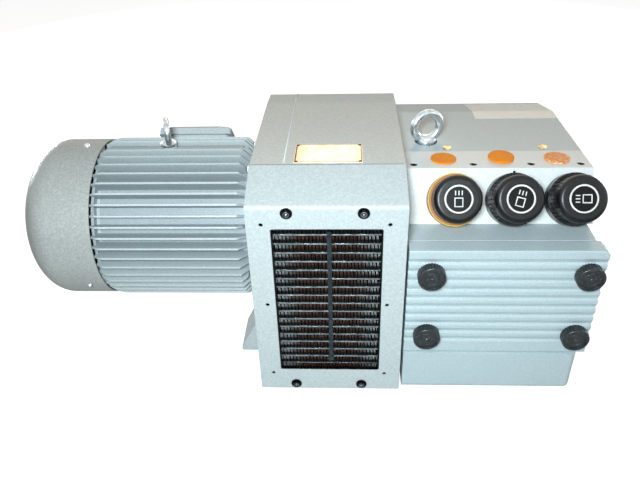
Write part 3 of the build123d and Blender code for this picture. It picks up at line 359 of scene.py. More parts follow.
@dataclass(frozen=True)
class Rubber:
    """Moulded black rubber with a dry bloom on it."""

    name: str
    colour: str = "1b1b1c"
    bloom: str = "4a4a4b"
    bloom_mm: float = 5.0
    skin_mm: float = 0.8

    def build(self) -> bpy.types.Material:
        """Build the node material.

        Returns:
            The finished material.
        """
        s = Shader(self.name, IOR=1.52)
        bloom = s.add("TexNoise", "Fac", s.lumps(self.bloom_mm, Detail=5.0, Roughness=0.65))
        skin = s.add("TexNoise", "Fac", s.lumps(self.skin_mm, Detail=3.0))
        colour = s.add("ValToRGB", "Color", {"Fac": bloom}, stops=((0.4, self.colour), (0.75, self.bloom)))
        gloss = s.add("MapRange", "Result", over(bloom, 0.62, 0.85))
        return s.finished(colour, gloss, skin, 0.04, 0.6)


@dataclass(frozen=True)
class CoolerFin:
    """Black-dipped copper strip, folded; the dip is thin on the folds, so the copper shows through, and pale
    grey streaks on it are painted glints.
    """

    name: str = "dipped_copper_strip"
    dip: str = "141414"
    thin_dip: str = "4a2f28"
    copper: str = "b06a50"
    painted_glint: str = "c9c4c0"
    patch_mm: float = 2.6
    streak_mm: float = 1.4

    def build(self) -> bpy.types.Material:
        """Build the node material.

        Returns:
            The finished material.
        """
        s = Shader(self.name, Metallic=0.85)
        thin = s.add("TexNoise", "Fac", s.lumps(self.patch_mm, Detail=3.0, Roughness=0.6))
        streak = s.add("TexNoise", "Fac", s.lumps(self.streak_mm, Roughness=0.7))
        stops = ((0.45, self.dip), (0.58, self.thin_dip), (0.72, self.copper))
        worn = s.add("ValToRGB", "Color", {"Fac": thin}, stops=stops)
        # painted glints: streaks of pale grey mixed into the strip's colour
        bright = s.add("MapRange", "Result", over(streak, 0.0, 1.0, 0.62, 0.78))
        colour = s.add("Mix", 2, {0: bright, 6: worn, 7: self.painted_glint}, data_type="RGBA")
        gloss = s.add("MapRange", "Result", over(thin, 0.42, 0.24))
        return s.finished(colour, gloss, streak, 0.05, 0.6)


@dataclass(frozen=True)
class PaintedFoldGlints:
    """The front edges of the folded strip, with painted glints on their upper bends.

    A row's phase is fract((top - z) / pitch), 0 at the tube over it. The painted glint lies between 0.12 and
    0.6 of it.
    It is copper in the middle of the cooler and white near both ends, where the folds splay.
    """

    name: str = "fold_edges_painted_glints"
    dip: str = "111213"
    copper: str = "b4755c"
    # bare: the white of the painted glints near both ends
    bare: str = "f2f5f5"
    row_top: float = 0.3234
    pitch: float = 0.0145
    middle: float = -0.1038
    copper_half: float = 0.038
    white_glint_half: float = 0.062
    end_share: float = 0.8
    patch_mm: float = 6.0
    streak_mm: float = 1.4

    def build(self) -> bpy.types.Material:
        """Build the node material.

        Returns:
            The finished material.
        """
        s = Shader(self.name, Metallic=0.2, Roughness=0.4)
        across = s.add("SeparateXYZ", "X", {"Vector": s.place})
        height = s.add("SeparateXYZ", "Z", {"Vector": s.place})
        drop = s.add("Math", 0, {0: self.row_top, 1: height}, operation="SUBTRACT")
        rows = s.add("Math", 0, {0: drop, 1: self.pitch}, operation="DIVIDE")
        phase = s.add("Math", 0, {0: rows}, operation="FRACT")
        stops = ((0.08, "000000"), (0.16, "ffffff"), (0.36, "ffffff"), (0.58, "000000"))
        bend = s.add("ValToRGB", "Color", {"Fac": phase}, stops=stops)
        off_middle = s.add("Math", 0, {0: across, 1: self.middle}, operation="SUBTRACT")
        along = s.add("Math", 0, {0: off_middle}, operation="ABSOLUTE")
        end = s.add("MapRange", "Result", over(along, 0.0, 1.0, self.copper_half, self.white_glint_half))
        patches = s.add("TexNoise", "Fac", s.lumps(self.patch_mm, Roughness=0.7))
        patchy = s.add("MapRange", "Result", over(patches, 0.0, 0.9))
        at_end = s.add("Math", 0, {0: end, 1: self.end_share}, operation="MULTIPLY")
        # the painted glints' share along a row: patches in the middle, more towards both ends
        glint_spread = s.add("Math", 0, {0: patchy, 1: at_end}, operation="MAXIMUM")
        share = s.add("Math", 0, {0: bend, 1: glint_spread}, operation="MULTIPLY")
        # the painted glints' colour: copper in the middle, white near the ends
        metal = s.add("Mix", 2, {0: end, 6: self.copper, 7: self.bare}, data_type="RGBA")
        colour = s.add("Mix", 2, {0: share, 6: self.dip, 7: metal}, data_type="RGBA")
        streak = s.add("TexNoise", "Fac", s.lumps(self.streak_mm, Roughness=0.7))
        return s.finished(colour, None, streak, 0.05, 0.6)


@dataclass(frozen=True)
class PlateBrass:
    """A brass-coloured anodised plate: brushed along its length, with an even gloss and a painted sheen that
    makes it paler in its middle.

    The brushing is drawn 0.5 mm wide, a few times its width, so that it shows in the render.
    """

    name: str = "brushed_brass_plate"
    pale: Stops = ((0.34, "f8ecd0"), (0.5, "fdf8ea"), (0.62, "fffefa"))
    gold: str = "cfa667"
    middle: float = -0.099
    pale_half: float = 0.03
    gold_half: float = 0.052
    brush_mm: float = 0.5
    tarnish_mm: float = 14.0

    def build(self) -> bpy.types.Material:
        """Build the node material.

        Returns:
            The finished material.
        """
        s = Shader(self.name, Metallic=0.4)
        along = s.add("Mapping", "Vector", {"Vector": s.place, "Scale": (0.05, 1.0, 1.0)})
        lines = s.lumps(self.brush_mm, Detail=3.0, Roughness=0.6) | {"Vector": along}
        brush = s.add("TexNoise", "Fac", lines)
        tarnish = s.add("TexNoise", "Fac", s.lumps(self.tarnish_mm, Detail=4.0, Roughness=0.6))
        base = s.add("ValToRGB", "Color", {"Fac": tarnish}, stops=self.pale)
        across = s.add("SeparateXYZ", "X", {"Vector": s.place})
        off_middle = s.add("Math", 0, {0: across, 1: self.middle}, operation="SUBTRACT")
        distance = s.add("Math", 0, {0: off_middle}, operation="ABSOLUTE")
        # painted sheen: the plate stays pale in its middle and turns gold towards its ends
        gold_outside_sheen = s.add("MapRange", "Result", over(distance, 0.0, 0.75, self.pale_half, self.gold_half))
        streaky = s.add("MapRange", "Result", over(brush, 0.5, 1.0))
        share = s.add("Math", 0, {0: gold_outside_sheen, 1: streaky}, operation="MULTIPLY")
        colour = s.add("Mix", 2, {0: share, 6: base, 7: self.gold}, data_type="RGBA")
        gloss = s.add("MapRange", "Result", over(brush, 0.26, 0.38))
        return s.finished(colour, gloss, brush, 0.01, 0.5)


@dataclass(frozen=True)
class ScuffedCap:
    """A soft orange polyethylene cap, whitened in scratches where it was pressed and rubbed."""

    name: str
    wear: float
    tints: Stops = ((0.3, "fb8a0c"), (0.7, "ff9a18"))
    white: str = "fdeedd"
    warp_mm: float = 7.0
    warp_reach: float = 0.01
    tint_mm: float = 9.0
    scratch_mm: float = 2.2

    def build(self) -> bpy.types.Material:
        """Build the node material.

        Returns:
            The finished material.
        """
        s = Shader(self.name, IOR=1.5, Specular_IOR_Level=0.25, Subsurface_Weight=0.1, Subsurface_Scale=0.002)
        warp = s.add("TexNoise", "Fac", s.lumps(self.warp_mm))
        bent = s.add("Math", 0, {0: warp, 1: self.warp_reach}, operation="MULTIPLY")
        shift = s.add("CombineXYZ", 0, {"X": bent})
        shifted = s.add("VectorMath", 0, {0: s.place, 1: shift}, operation="ADD")
        stretched = {"Vector": shifted, "Rotation": (0.0, 0.0, 0.6), "Scale": (0.35, 1.0, 1.0)}
        slanted = s.add("Mapping", "Vector", stretched)
        lines = s.lumps(self.scratch_mm, Detail=5.0, Roughness=0.75) | {"Vector": slanted}
        scratch = s.add("TexNoise", "Fac", lines)
        eased = 0.08 * self.wear
        share = s.add("MapRange", "Result", over(scratch, 0.0, self.wear, 0.56 - eased, 0.66 - eased))
        cloud = s.add("TexNoise", "Fac", s.lumps(self.tint_mm))
        tint = s.add("ValToRGB", "Color", {"Fac": cloud}, stops=self.tints)
        colour = s.add("Mix", 2, {0: share, 6: tint, 7: self.white}, data_type="RGBA")
        gloss = s.add("MapRange", "Result", over(scratch, 0.42, 0.6))
        return s.finished(colour, gloss, scratch, eased, 0.6)


@dataclass(frozen=True)
class Paper:
    """A bare printed-film label or pleated paper: even, slightly yellowed, soft at its edges."""

    name: str
    colour: str
    shade: str
    roughness: float = 0.5
    cloud_mm: float = 18.0
    fibre_mm: float = 1.2

    def build(self) -> bpy.types.Material:
        """Build the node material.

        Returns:
            The finished material.
        """
        s = Shader(self.name, IOR=1.48)
        cloud = s.add("TexNoise", "Fac", s.lumps(self.cloud_mm, Detail=4.0, Roughness=0.6))
        fibre = s.add("TexNoise", "Fac", s.lumps(self.fibre_mm))
        colour = s.add("ValToRGB", "Color", {"Fac": cloud}, stops=((0.35, self.shade), (0.6, self.colour)))
        gloss = s.add("MapRange", "Result", over(cloud, self.roughness, self.roughness + 0.15))
        return s.finished(colour, gloss, fibre, 0.01, 0.5)


class Finish(Enum):
    """The finishes on the pump, each with its recipe."""

    HOOD_PAINT = HammerPaint("hammer_enamel_hood", "cfd5d5", "bcc4c4", 3.0, 0.09, edge_mm=1.5)
    COWL_PAINT = HammerPaint("hammer_enamel_cowl", "c4c5c0", "abaeaa", 2.4, 0.08, 0.12)
    MOTOR_PAINT = HammerPaint("enamel_on_ribbed_casting", "d0d6d7", "b8c0c2", 1.8, 0.05, 0.08, 0.36, 0.8)
    FIN_PAINT = RibbedPaint("enamel_on_cooling_fins", "dee5e6", "c8d0d2", 1.8, 0.05, 0.06, 0.38, 0.6)
    UNIT_PAINT = HammerPaint("fine_silver_enamel", "c8d5d9", "b8c6ca", 1.6, 0.05, 0.06, 0.36, 1.4)
    # the bead's enamel is lighter than the hood's as a painted highlight along the seam
    BEAD_PAINT = HammerPaint("enamel_on_bead_painted_highlight", "e6e8e2", "d4d7d2", 1.6, 0.03, 0.06, 0.32)
    PANEL_PAINT = HammerPaint("silver_enamel_panel", "eef0ef", "e4e7e6", 3.0, 0.02, 0.04, 0.4)
    CAST_IRON = CastPaint("enamelled_cast_iron", "8d9493", "5e6464")
    STEEL = Metal("ground_steel", "b9bbbd", "8e9194", 0.3)
    ZINC = Metal("bright_zinc_plate", "dfe6ea", "bcc6cc", 0.27, 1.2, 0.012)
    BLACK_STEEL = Metal("blackened_steel", "2c2d2f", "18191a", 0.36)
    YELLOW_ZINC = Metal("yellow_chromate_zinc", "d8cfa6", "93865c", 0.36)
    BLUED_STEEL = Metal("blued_steel_bar", "525b60", "3b4246", 0.42)
    WORN_RIM = Metal("worn_black_rim", "7d8488", "4c5155", 0.34)
    PLATE_LINE = Metal("dark_gold_line", "7d5c2a", "4f3a1c", 0.4)
    TUBE = Metal("drawn_aluminium_tube", "a9b2b6", "7c868b", 0.3)
    FIN = CoolerFin()
    FIN_EDGE = PaintedFoldGlints()
    KNOB = Moulding("black_phenolic_knob", "0e0f10", "3c4043", 0.3, 0.14, specular=0.4)
    SLEEVE = Moulding("yellow_nylon_sleeve", "a9692a", "cf9648", 0.45, 0.3)
    # the lip's bright yellow, lighter than the sleeve's, is a painted highlight on the sleeve's edge
    SLEEVE_RIM = Moulding("yellow_rim_painted_highlight", "ffd64e", "fff0a8", 0.35, 0.3)
    BLACK_SLEEVE = Moulding("black_nylon_sleeve", "0c0d0e", "2b2e30", 0.24, 0.06, 1.5, 0.004, 0.6, 0.4)
    THUMB = Moulding("black_nylon_grip", "26292b", "6c7276", 0.32, 0.45)
    CAP = ScuffedCap("orange_polyethylene_cap", 0.08)
    CAP_WORN = ScuffedCap("scratched_polyethylene_cap", 0.85)
    FAN_PLASTIC = Moulding("grey_fan_plastic", "3b3d3f", "6a6d6f", 0.5)
    SPIDER = Moulding("red_brown_coupling_rubber", "7c2c20", "a5564a", 0.55)
    GASKET = Rubber("gasket_rubber")
    BUFFER = Rubber("rubber_buffer", "161617", "3d3d3e")
    CARBON = Moulding("carbon_vane", "26272a", "4a4c50", 0.45)
    FILTER_PAPER = Paper("pleated_filter_paper", "e8dcb8", "cdbf98", 0.7)
    BRASS = PlateBrass()
    LABEL = Paper("blank_white_label", "fffffa", "f8f6ea", 0.25)
    PRINT = Paper("white_dial_print", "f2efe9", "d9d5ce", 0.45)
    DIAL = Moulding("black_dial_disc", "090a0b", "26282a", 0.35, 0.08, specular=0.2)

    def material(self) -> bpy.types.Material:
        """Give the finish's material, built once."""
        found = bpy.data.materials.get(self.value.name)
        return found or self.value.build()


def dress(finish: Finish, *nodes: str) -> None:
    """Give CAD nodes a finish in every material slot."""
    for node in nodes:
        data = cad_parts[node].data
        if not data.materials:
            data.materials.append(None)
        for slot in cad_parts[node].material_slots:
            slot.material = finish.material()
        log.info("dressed %s in %s", node, finish.value.name)


def solid(name: str, points: np.ndarray, faces: list, finish: Finish, body: str, slot: str,
          smooth: bool = True) -> bpy.types.Object:
    """Make a closed mesh piece from points in millimetres and let it ride.

    Args:
        name: the piece's name.
        points: an array of (n, 3) places in millimetres.
        faces: the faces, as rows of point numbers.
        finish: its finish.
        body: the CAD body that it rides on.
        slot: the record's material slot; not used.
        smooth: whether the faces are smooth shaded.

    Returns:
        The new object, at the origin with its place in its mesh.
    """
    data = bpy.data.meshes.new(name)
    data.from_pydata((np.asarray(points, float).reshape(-1, 3) * MM).tolist(), [], faces)
    data.update()
    data.materials.append(finish.material())
    data.polygons.foreach_set("use_smooth", [smooth] * len(data.polygons))
    obj = bpy.data.objects.new(name, data)
    bpy.context.scene.collection.objects.link(obj)
    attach(obj, body)
    log.info("made %s, which rides on %s", name, body)
    return obj


def sweep_faces(rows: int, columns: int, close_rows: bool, close_columns: bool, start: int = 0) -> np.ndarray:
    """Give the quads of a grid of points, numbered row by row from start.

    Args:
        rows: the number of rows.
        columns: the number of points in a row.
        close_rows: whether the last row joins the first.
        close_columns: whether each row is a loop.
        start: the number of the grid's first point.

    Returns:
        An array of (n, 4) point numbers.
    """
    i = np.arange(rows if close_rows else rows - 1)
    j = np.arange(columns if close_columns else columns - 1)
    i, j = (a.ravel() for a in np.meshgrid(i, j, indexing="ij"))
    following_i, following_j = (i + 1) % rows, (j + 1) % columns
    quads = np.stack([i * columns + j, following_i * columns + j,
                      following_i * columns + following_j, i * columns + following_j], axis=1)
    return quads + start


def shifted(faces: list, start: int) -> list:
    """Number faces from a later first point."""
    return [[v + start for v in face] for face in faces]


@dataclass
class Axes:
    """A place and its three directions, in the row frame and in millimetres."""

    origin: np.ndarray
    x: np.ndarray
    y: np.ndarray
    z: np.ndarray

    @classmethod
    def facing(cls, origin: Point, normal: Point, x: Point = (1.0, 0.0, 0.0)) -> "Axes":
        """Build axes from a place, an outward normal and the x direction.

        Args:
            origin: the place, in millimetres.
            normal: the outward direction, which becomes Z.
            x: the direction that becomes X, square to the normal.

        Returns:
            The axes.
        """
        z_axis = np.array(normal, float) / np.linalg.norm(normal)
        x_axis = np.array(x, float) / np.linalg.norm(x)
        return cls(np.array(origin, float), x_axis, np.cross(z_axis, x_axis), z_axis)

    def put(self, points: np.ndarray) -> np.ndarray:
        """Carry local points to the row frame: origin + x * X + y * Y + z * Z."""
        p = np.asarray(points, float)
        return self.origin + p[..., :1] * self.x + p[..., 1:2] * self.y + p[..., 2:3] * self.z

    def moved(self, x: float = 0.0, y: float = 0.0, z: float = 0.0) -> "Axes":
        """Give the same directions at a place moved along them."""
        return Axes(self.put(np.array([x, y, z])), self.x, self.y, self.z)


def turned(profile: np.ndarray, steps: int, axes: Axes, shape: np.ndarray | None = None) -> Mesh:
    """Turn an (r, z) profile about an axis and close its ends with flat faces.

    Point (i, j) is (r_j * s_ij * cos a_i, r_j * s_ij * sin a_i, z_j), with a_i = 2 * pi * i / steps.

    Args:
        profile: an array of (n, 2) radii and heights, from the inner end to the outer.
        steps: the number of angles.
        axes: where the axis is.
        shape: optional factors s of (steps, n) on the radii, such as flats or flutes.

    Returns:
        The points and the faces.
    """
    angle = np.linspace(0, 2 * np.pi, steps, endpoint=False)
    radius = np.tile(profile[:, 0], (steps, 1)) * (1.0 if shape is None else shape)
    local = np.stack([radius * np.cos(angle)[:, None], radius * np.sin(angle)[:, None],
                      np.tile(profile[:, 1], (steps, 1))], axis=-1)
    count = len(profile)
    faces = sweep_faces(steps, count, True, False).tolist()
    faces.append([i * count for i in range(steps)])
    faces.append([i * count + count - 1 for i in range(steps)][::-1])
    return axes.put(local).reshape(-1, 3), faces


def ring_about(profile: np.ndarray, steps: int, axes: Axes, shape: np.ndarray | None = None) -> Mesh:
    """Turn a closed (r, z) outline about an axis, as turned() does, but join its ends to each other."""
    points, _ = turned(profile, steps, axes, shape)
    return points, sweep_faces(steps, len(profile), True, True).tolist()


def arc(start: float, end: float, count: int, middle: Pair, radii: Pair) -> np.ndarray:
    """Give points (r + R cos a, z + Z sin a) of an ellipse's arc between two angles in degrees."""
    angle = np.radians(np.linspace(start, end, count))
    return np.stack([middle[0] + radii[0] * np.cos(angle), middle[1] + radii[1] * np.sin(angle)], 1)


def hexagon(steps: int) -> np.ndarray:
    """Give the factors that make a circle's radius a hexagon's: cos 30 / cos(((a + 30) mod 60) - 30)."""
    angle = np.linspace(0, 360, steps, endpoint=False)
    return np.cos(np.radians(30)) / np.cos(np.radians((angle + 30) % 60 - 30))


def facing_out(obj: bpy.types.Object) -> bpy.types.Object:
    """Turn a closed mesh's faces outwards where its signed volume is below zero.

    Args:
        obj: the closed mesh piece.

    Returns:
        The same object.
    """
    data = obj.data
    data.calc_loop_triangles()
    corners = np.zeros(len(data.loop_triangles) * 3, int)
    data.loop_triangles.foreach_get("vertices", corners)
    places = np.zeros(len(data.vertices) * 3)
    data.vertices.foreach_get("co", places)
    a, b, c = places.reshape(-1, 3)[corners.reshape(-1, 3)].transpose(1, 0, 2)
    if np.einsum("ij,ij->i", a, np.cross(b, c)).sum() < 0:
        data.flip_normals()
    return obj


@dataclass
class CameraRig:
    """The photograph's viewpoint, as a pinhole camera fitted to the object's corners."""

    place_mm: Point = (-75.65, -901.57, 771.61)
    pitch: float = 33.018
    yaw: float = -3.079
    roll: float = -1.699
    focal_px: float = 626.58
    sensor_mm: float = 36.0
    far_end: float = 50.0

    def build(self) -> bpy.types.Object:
        """Make the camera the scene's own, looking down by the pitch, turned by the yaw and rolled.

        Returns:
            The camera.
        """
        p, w, r = (math.radians(v) for v in (self.pitch, self.yaw, self.roll))
        ahead = Vector((math.sin(w) * math.cos(p), math.cos(w) * math.cos(p), -math.sin(p)))
        level = Vector((math.cos(w), -math.sin(w), 0.0))
        upright = level.cross(ahead)
        right = math.cos(r) * level + math.sin(r) * upright
        above = -math.sin(r) * level + math.cos(r) * upright
        data = bpy.data.cameras.new("photo_camera")
        data.sensor_width = self.sensor_mm
        data.lens = self.focal_px / IMAGE_WIDTH * self.sensor_mm
        data.clip_end = self.far_end
        camera = bpy.data.objects.new("photo_camera", data)
        turn = Matrix((right, above, -ahead)).transposed().to_4x4()
        camera.matrix_world = Matrix.Translation(Vector(self.place_mm) * MM) @ turn
        bpy.context.scene.collection.objects.link(camera)
        bpy.context.scene.camera = camera
        return camera


@dataclass
class Studio:
    """A pale floor, a white surround and soft lamps, as plain as a catalogue picture's.

    A lamp is its name, its place and its aim in metres, its width and height, its watts and its colour.
    """

    floor_half: float = 9.0
    floor_lift: float = 0.88
    floor_matt: tuple[float, float, float, float] = (0.62, 0.62, 0.61, 1)
    dim: float = 0.1
    lamps: list[tuple[str, tuple, tuple, tuple, float, str]] = field(default_factory=lambda: [
        ("flash", (-0.16, -0.98, 0.87), (-0.02, 0.0, 0.22), (0.18, 0.18), 13.6, "eafaff"),
        ("ceiling", (0.2, 1.9, 1.48), (0.0, 0.0, 0.35), (2.2, 0.3), 9.5, "ffd291"),
        ("side", (1.6, -0.8, 0.9), (0.1, 0.0, 0.2), (1.0, 1.0), 2.0, "eefaff"),
        ("back_left", (-2.1, 1.7, 0.26), (-0.15, 0.0, 0.23), (1.0, 0.36), 26.0, "f4fbff"),
        ("back_right", (1.9, 1.8, 0.26), (0.1, 0.0, 0.23), (1.0, 0.36), 26.0, "f4fbff"),
    ])

    def build(self) -> None:
        """Make the floor, the world and the lamps."""
        bpy.context.scene.view_settings.view_transform = "Standard"
        self.floor()
        self.world()
        for name, place, aim, size, watts, code in self.lamps:
            self.lamp(name, place, aim, size, watts, code)

    def floor(self) -> None:
        """Lay the floor; what the camera sees of it is lifted towards white, its shadow is kept."""
        half = self.floor_half
        data = bpy.data.meshes.new("floor")
        corners = [(-half, -half, 0), (half, -half, 0), (half, half, 0), (-half, half, 0)]
        data.from_pydata(corners, [], [(0, 1, 2, 3)])
        floor = bpy.data.objects.new("floor", data)
        bpy.context.scene.collection.objects.link(floor)
        material = bpy.data.materials.new("pale_floor")
        material.use_nodes = True
        tree = material.node_tree
        tree.nodes.clear()
        ray = add(tree, "LightPath", "Is Camera Ray")
        lift = add(tree, "Math", 0, {0: ray, 1: self.floor_lift}, operation="MULTIPLY")
        glow = add(tree, "Emission", 0, {"Color": WHITE, "Strength": lift})
        matt = add(tree, "BsdfDiffuse", 0, {"Color": self.floor_matt})
        both = add(tree, "AddShader", 0, {0: glow, 1: matt})
        add(tree, "OutputMaterial", inputs={"Surface": both})
        data.materials.append(material)
        floor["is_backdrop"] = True

    def world(self) -> None:
        """Surround the scene: white to the camera, in reflections and through glass, dim for the rest."""
        world = bpy.data.worlds.new("studio")
        bpy.context.scene.world = world
        world.use_nodes = True
        tree = world.node_tree
        tree.nodes.clear()
        seen = add(tree, "LightPath", "Is Camera Ray")
        for ray in ("Is Transmission Ray", "Is Glossy Ray"):
            seen = add(tree, "Math", 0, {0: seen, 1: add(tree, "LightPath", ray)}, operation="MAXIMUM")
        strength = add(tree, "MapRange", "Result", over(seen, self.dim, 1.0, 0.0, 1.0))
        back = add(tree, "Background", 0, {"Color": WHITE, "Strength": strength})
        add(tree, "OutputWorld", inputs={"Surface": back})

    def lamp(self, name: str, place: tuple, aim: tuple, size: tuple, watts: float, code: str) -> None:
        """Hang one soft lamp, wide and high by its size, at a place in metres, aimed at a point.

        Args:
            name: the lamp's name.
            place: where it hangs, in metres.
            aim: the point that it faces, in metres.
            size: its width and height, in metres.
            watts: its power.
            code: its colour, as six hex digits.
        """
        data = bpy.data.lights.new(name, "AREA")
        data.shape = "RECTANGLE"
        data.size, data.size_y = size
        data.energy = watts
        data.color = to_linear(code)[:3]
        lamp = bpy.data.objects.new(name, data)
        lamp.location = place
        lamp.rotation_euler = (Vector(aim) - Vector(place)).to_track_quat("-Z", "Y").to_euler()
        bpy.context.scene.collection.objects.link(lamp)


@dataclass
class Motor:
    """The flange motor: ribbed frame, domed fan cowl, terminal box and eyebolt."""

    shaft_height: float = 235.0
    fin_count: int = 48
    fin_width: float = 3.1
    fin_end_side: Profile = ((-464.6, 110.0), (-464.6, 124.6), (-461.5, 126.0), (-458.0, 128.2),
                             (-453.5, 129.7), (-447.8, 130.36), (-447.8, 110.0))
    end_ring: Profile = ((106.2, -464.8), (117.6, -464.8), (118.4, -464.0), (118.4, -460.0), (106.2, -460.0))
    end_ring_steps: int = 144
    eye_seat: Point = (-358.0, 0.0, 364.0)
    eye_normal: Point = (0.954, 0.299, 0.0)
    eye_rise: float = 22.5
    eye_ring: float = 17.5
    eye_wire: float = 5.0
    eye_steps: tuple[int, int] = (64, 24)
    shank_foot: float = -17.0
    shank_tip: float = 4.2
    thread_foot: float = -16.5
    thread_root: float = 4.6
    thread_rise: float = 0.35
    thread_length: float = 15.0
    thread_pitch: float = 0.75
    collar: Profile = ((4.6, -0.2), (12.2, 0.0), (12.5, 0.4), (12.5, 4.6), (12.1, 5.2), (9.6, 7.4),
                       (7.6, 8.0), (6.2, 9.2), (AXIS_RADIUS, 9.4))

    def build(self) -> None:
        """Dress the motor's nodes, run its fins into the cowl and make the eyebolt."""
        dress(Finish.FIN_PAINT, "motor_frame")
        dress(Finish.MOTOR_PAINT, "front_shield", "rear_shield", "terminal_box", "terminal_lid")
        dress(Finish.COWL_PAINT, "fan_cowl")
        dress(Finish.ZINC, "cowl_screws", "flange_bolts", "terminal_screws")
        dress(Finish.STEEL, "motor_shaft", "motor_rotor", "stator_core", "motor_bearings")
        dress(Finish.FAN_PLASTIC, "cooling_fan")
        self.fin_ends()
        self.eyebolt()

    def fin_ends(self) -> bpy.types.Object:
        """Make the low wedges that carry each fin on to the cowl's mouth, and the casting's end ring.

        Wedge k is the side view (x, r) as a plate fin_width thick, turned by 360 * k / fin_count degrees
        about the shaft: y = r * sin a + t * cos a, z = shaft + r * cos a - t * sin a.

        Returns:
            The new object.
        """
        side = np.array(self.fin_end_side)
        n = len(side)
        turns = np.radians(360 * np.arange(1, self.fin_count) / self.fin_count)[:, None, None]
        half = np.array([-0.5, 0.5])[None, :, None] * self.fin_width
        radius = side[None, None, :, 1]
        grid = np.empty((self.fin_count - 1, 2, n, 3))
        grid[..., 0] = side[:, 0]
        grid[..., 1] = radius * np.sin(turns) + half * np.cos(turns)
        grid[..., 2] = self.shaft_height + radius * np.cos(turns) - half * np.sin(turns)
        faces = []
        for start in range(0, (self.fin_count - 1) * 2 * n, 2 * n):
            faces += sweep_faces(2, n, False, True, start).tolist()
            faces += [list(range(start, start + n))[::-1], list(range(start + n, start + 2 * n))]
        shaft = Axes.facing((0.0, 0.0, self.shaft_height), (1.0, 0.0, 0.0), (0.0, 1.0, 0.0))
        ring, ring_faces = ring_about(np.array(self.end_ring), self.end_ring_steps, shaft)
        faces += shifted(ring_faces, grid.size // 3)
        points = np.concatenate([grid.reshape(-1, 3), ring])
        name, slot = "motor_fin_ends", "hammer_paint_motor"
        return facing_out(solid(name, points, faces, Finish.FIN_PAINT, "frame", slot, smooth=False))

    def eyebolt(self) -> bpy.types.Object:
        """Make the lifting eyebolt on its seat: a forged ring, its collar and its threaded shank.

        The ring is a torus, with the point at (a, b) being centre + (R + w cos b) * (u cos a + up sin a) +
        w sin b * normal. The collar and shank are turned about the upright.

        Returns:
            The new object.
        """
        seat = np.array(self.eye_seat)
        normal = np.array(self.eye_normal) / np.linalg.norm(self.eye_normal)
        across = np.cross(UP, normal)
        a = np.linspace(0, 2 * np.pi, self.eye_steps[0], endpoint=False)[:, None, None]
        b = np.linspace(0, 2 * np.pi, self.eye_steps[1], endpoint=False)[None, :, None]
        out = across * np.cos(a) + np.array(UP) * np.sin(a)
        centre = seat + (0, 0, self.eye_rise)
        ring = centre + (self.eye_ring + self.eye_wire * np.cos(b)) * out + self.eye_wire * np.sin(b) * normal
        turns = np.arange(0, self.thread_length, self.thread_pitch)
        crest = self.thread_root + self.thread_rise * (np.arange(len(turns)) % 2)
        thread = np.column_stack([crest, self.thread_foot + turns])
        foot = [[AXIS_RADIUS, self.shank_foot], [self.shank_tip, self.shank_foot]]
        profile = np.concatenate([foot, thread, self.collar])
        shank, shank_faces = turned(profile, 48, Axes.facing(self.eye_seat, UP))
        points = np.concatenate([ring.reshape(-1, 3), shank])
        faces = sweep_faces(*self.eye_steps, True, True).tolist() + shifted(shank_faces, ring.size // 3)
        obj = solid("lifting_eyebolt", points, faces, Finish.ZINC, "frame", "zinc_steel")
        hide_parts("motor_eyebolt")
        return facing_out(obj)


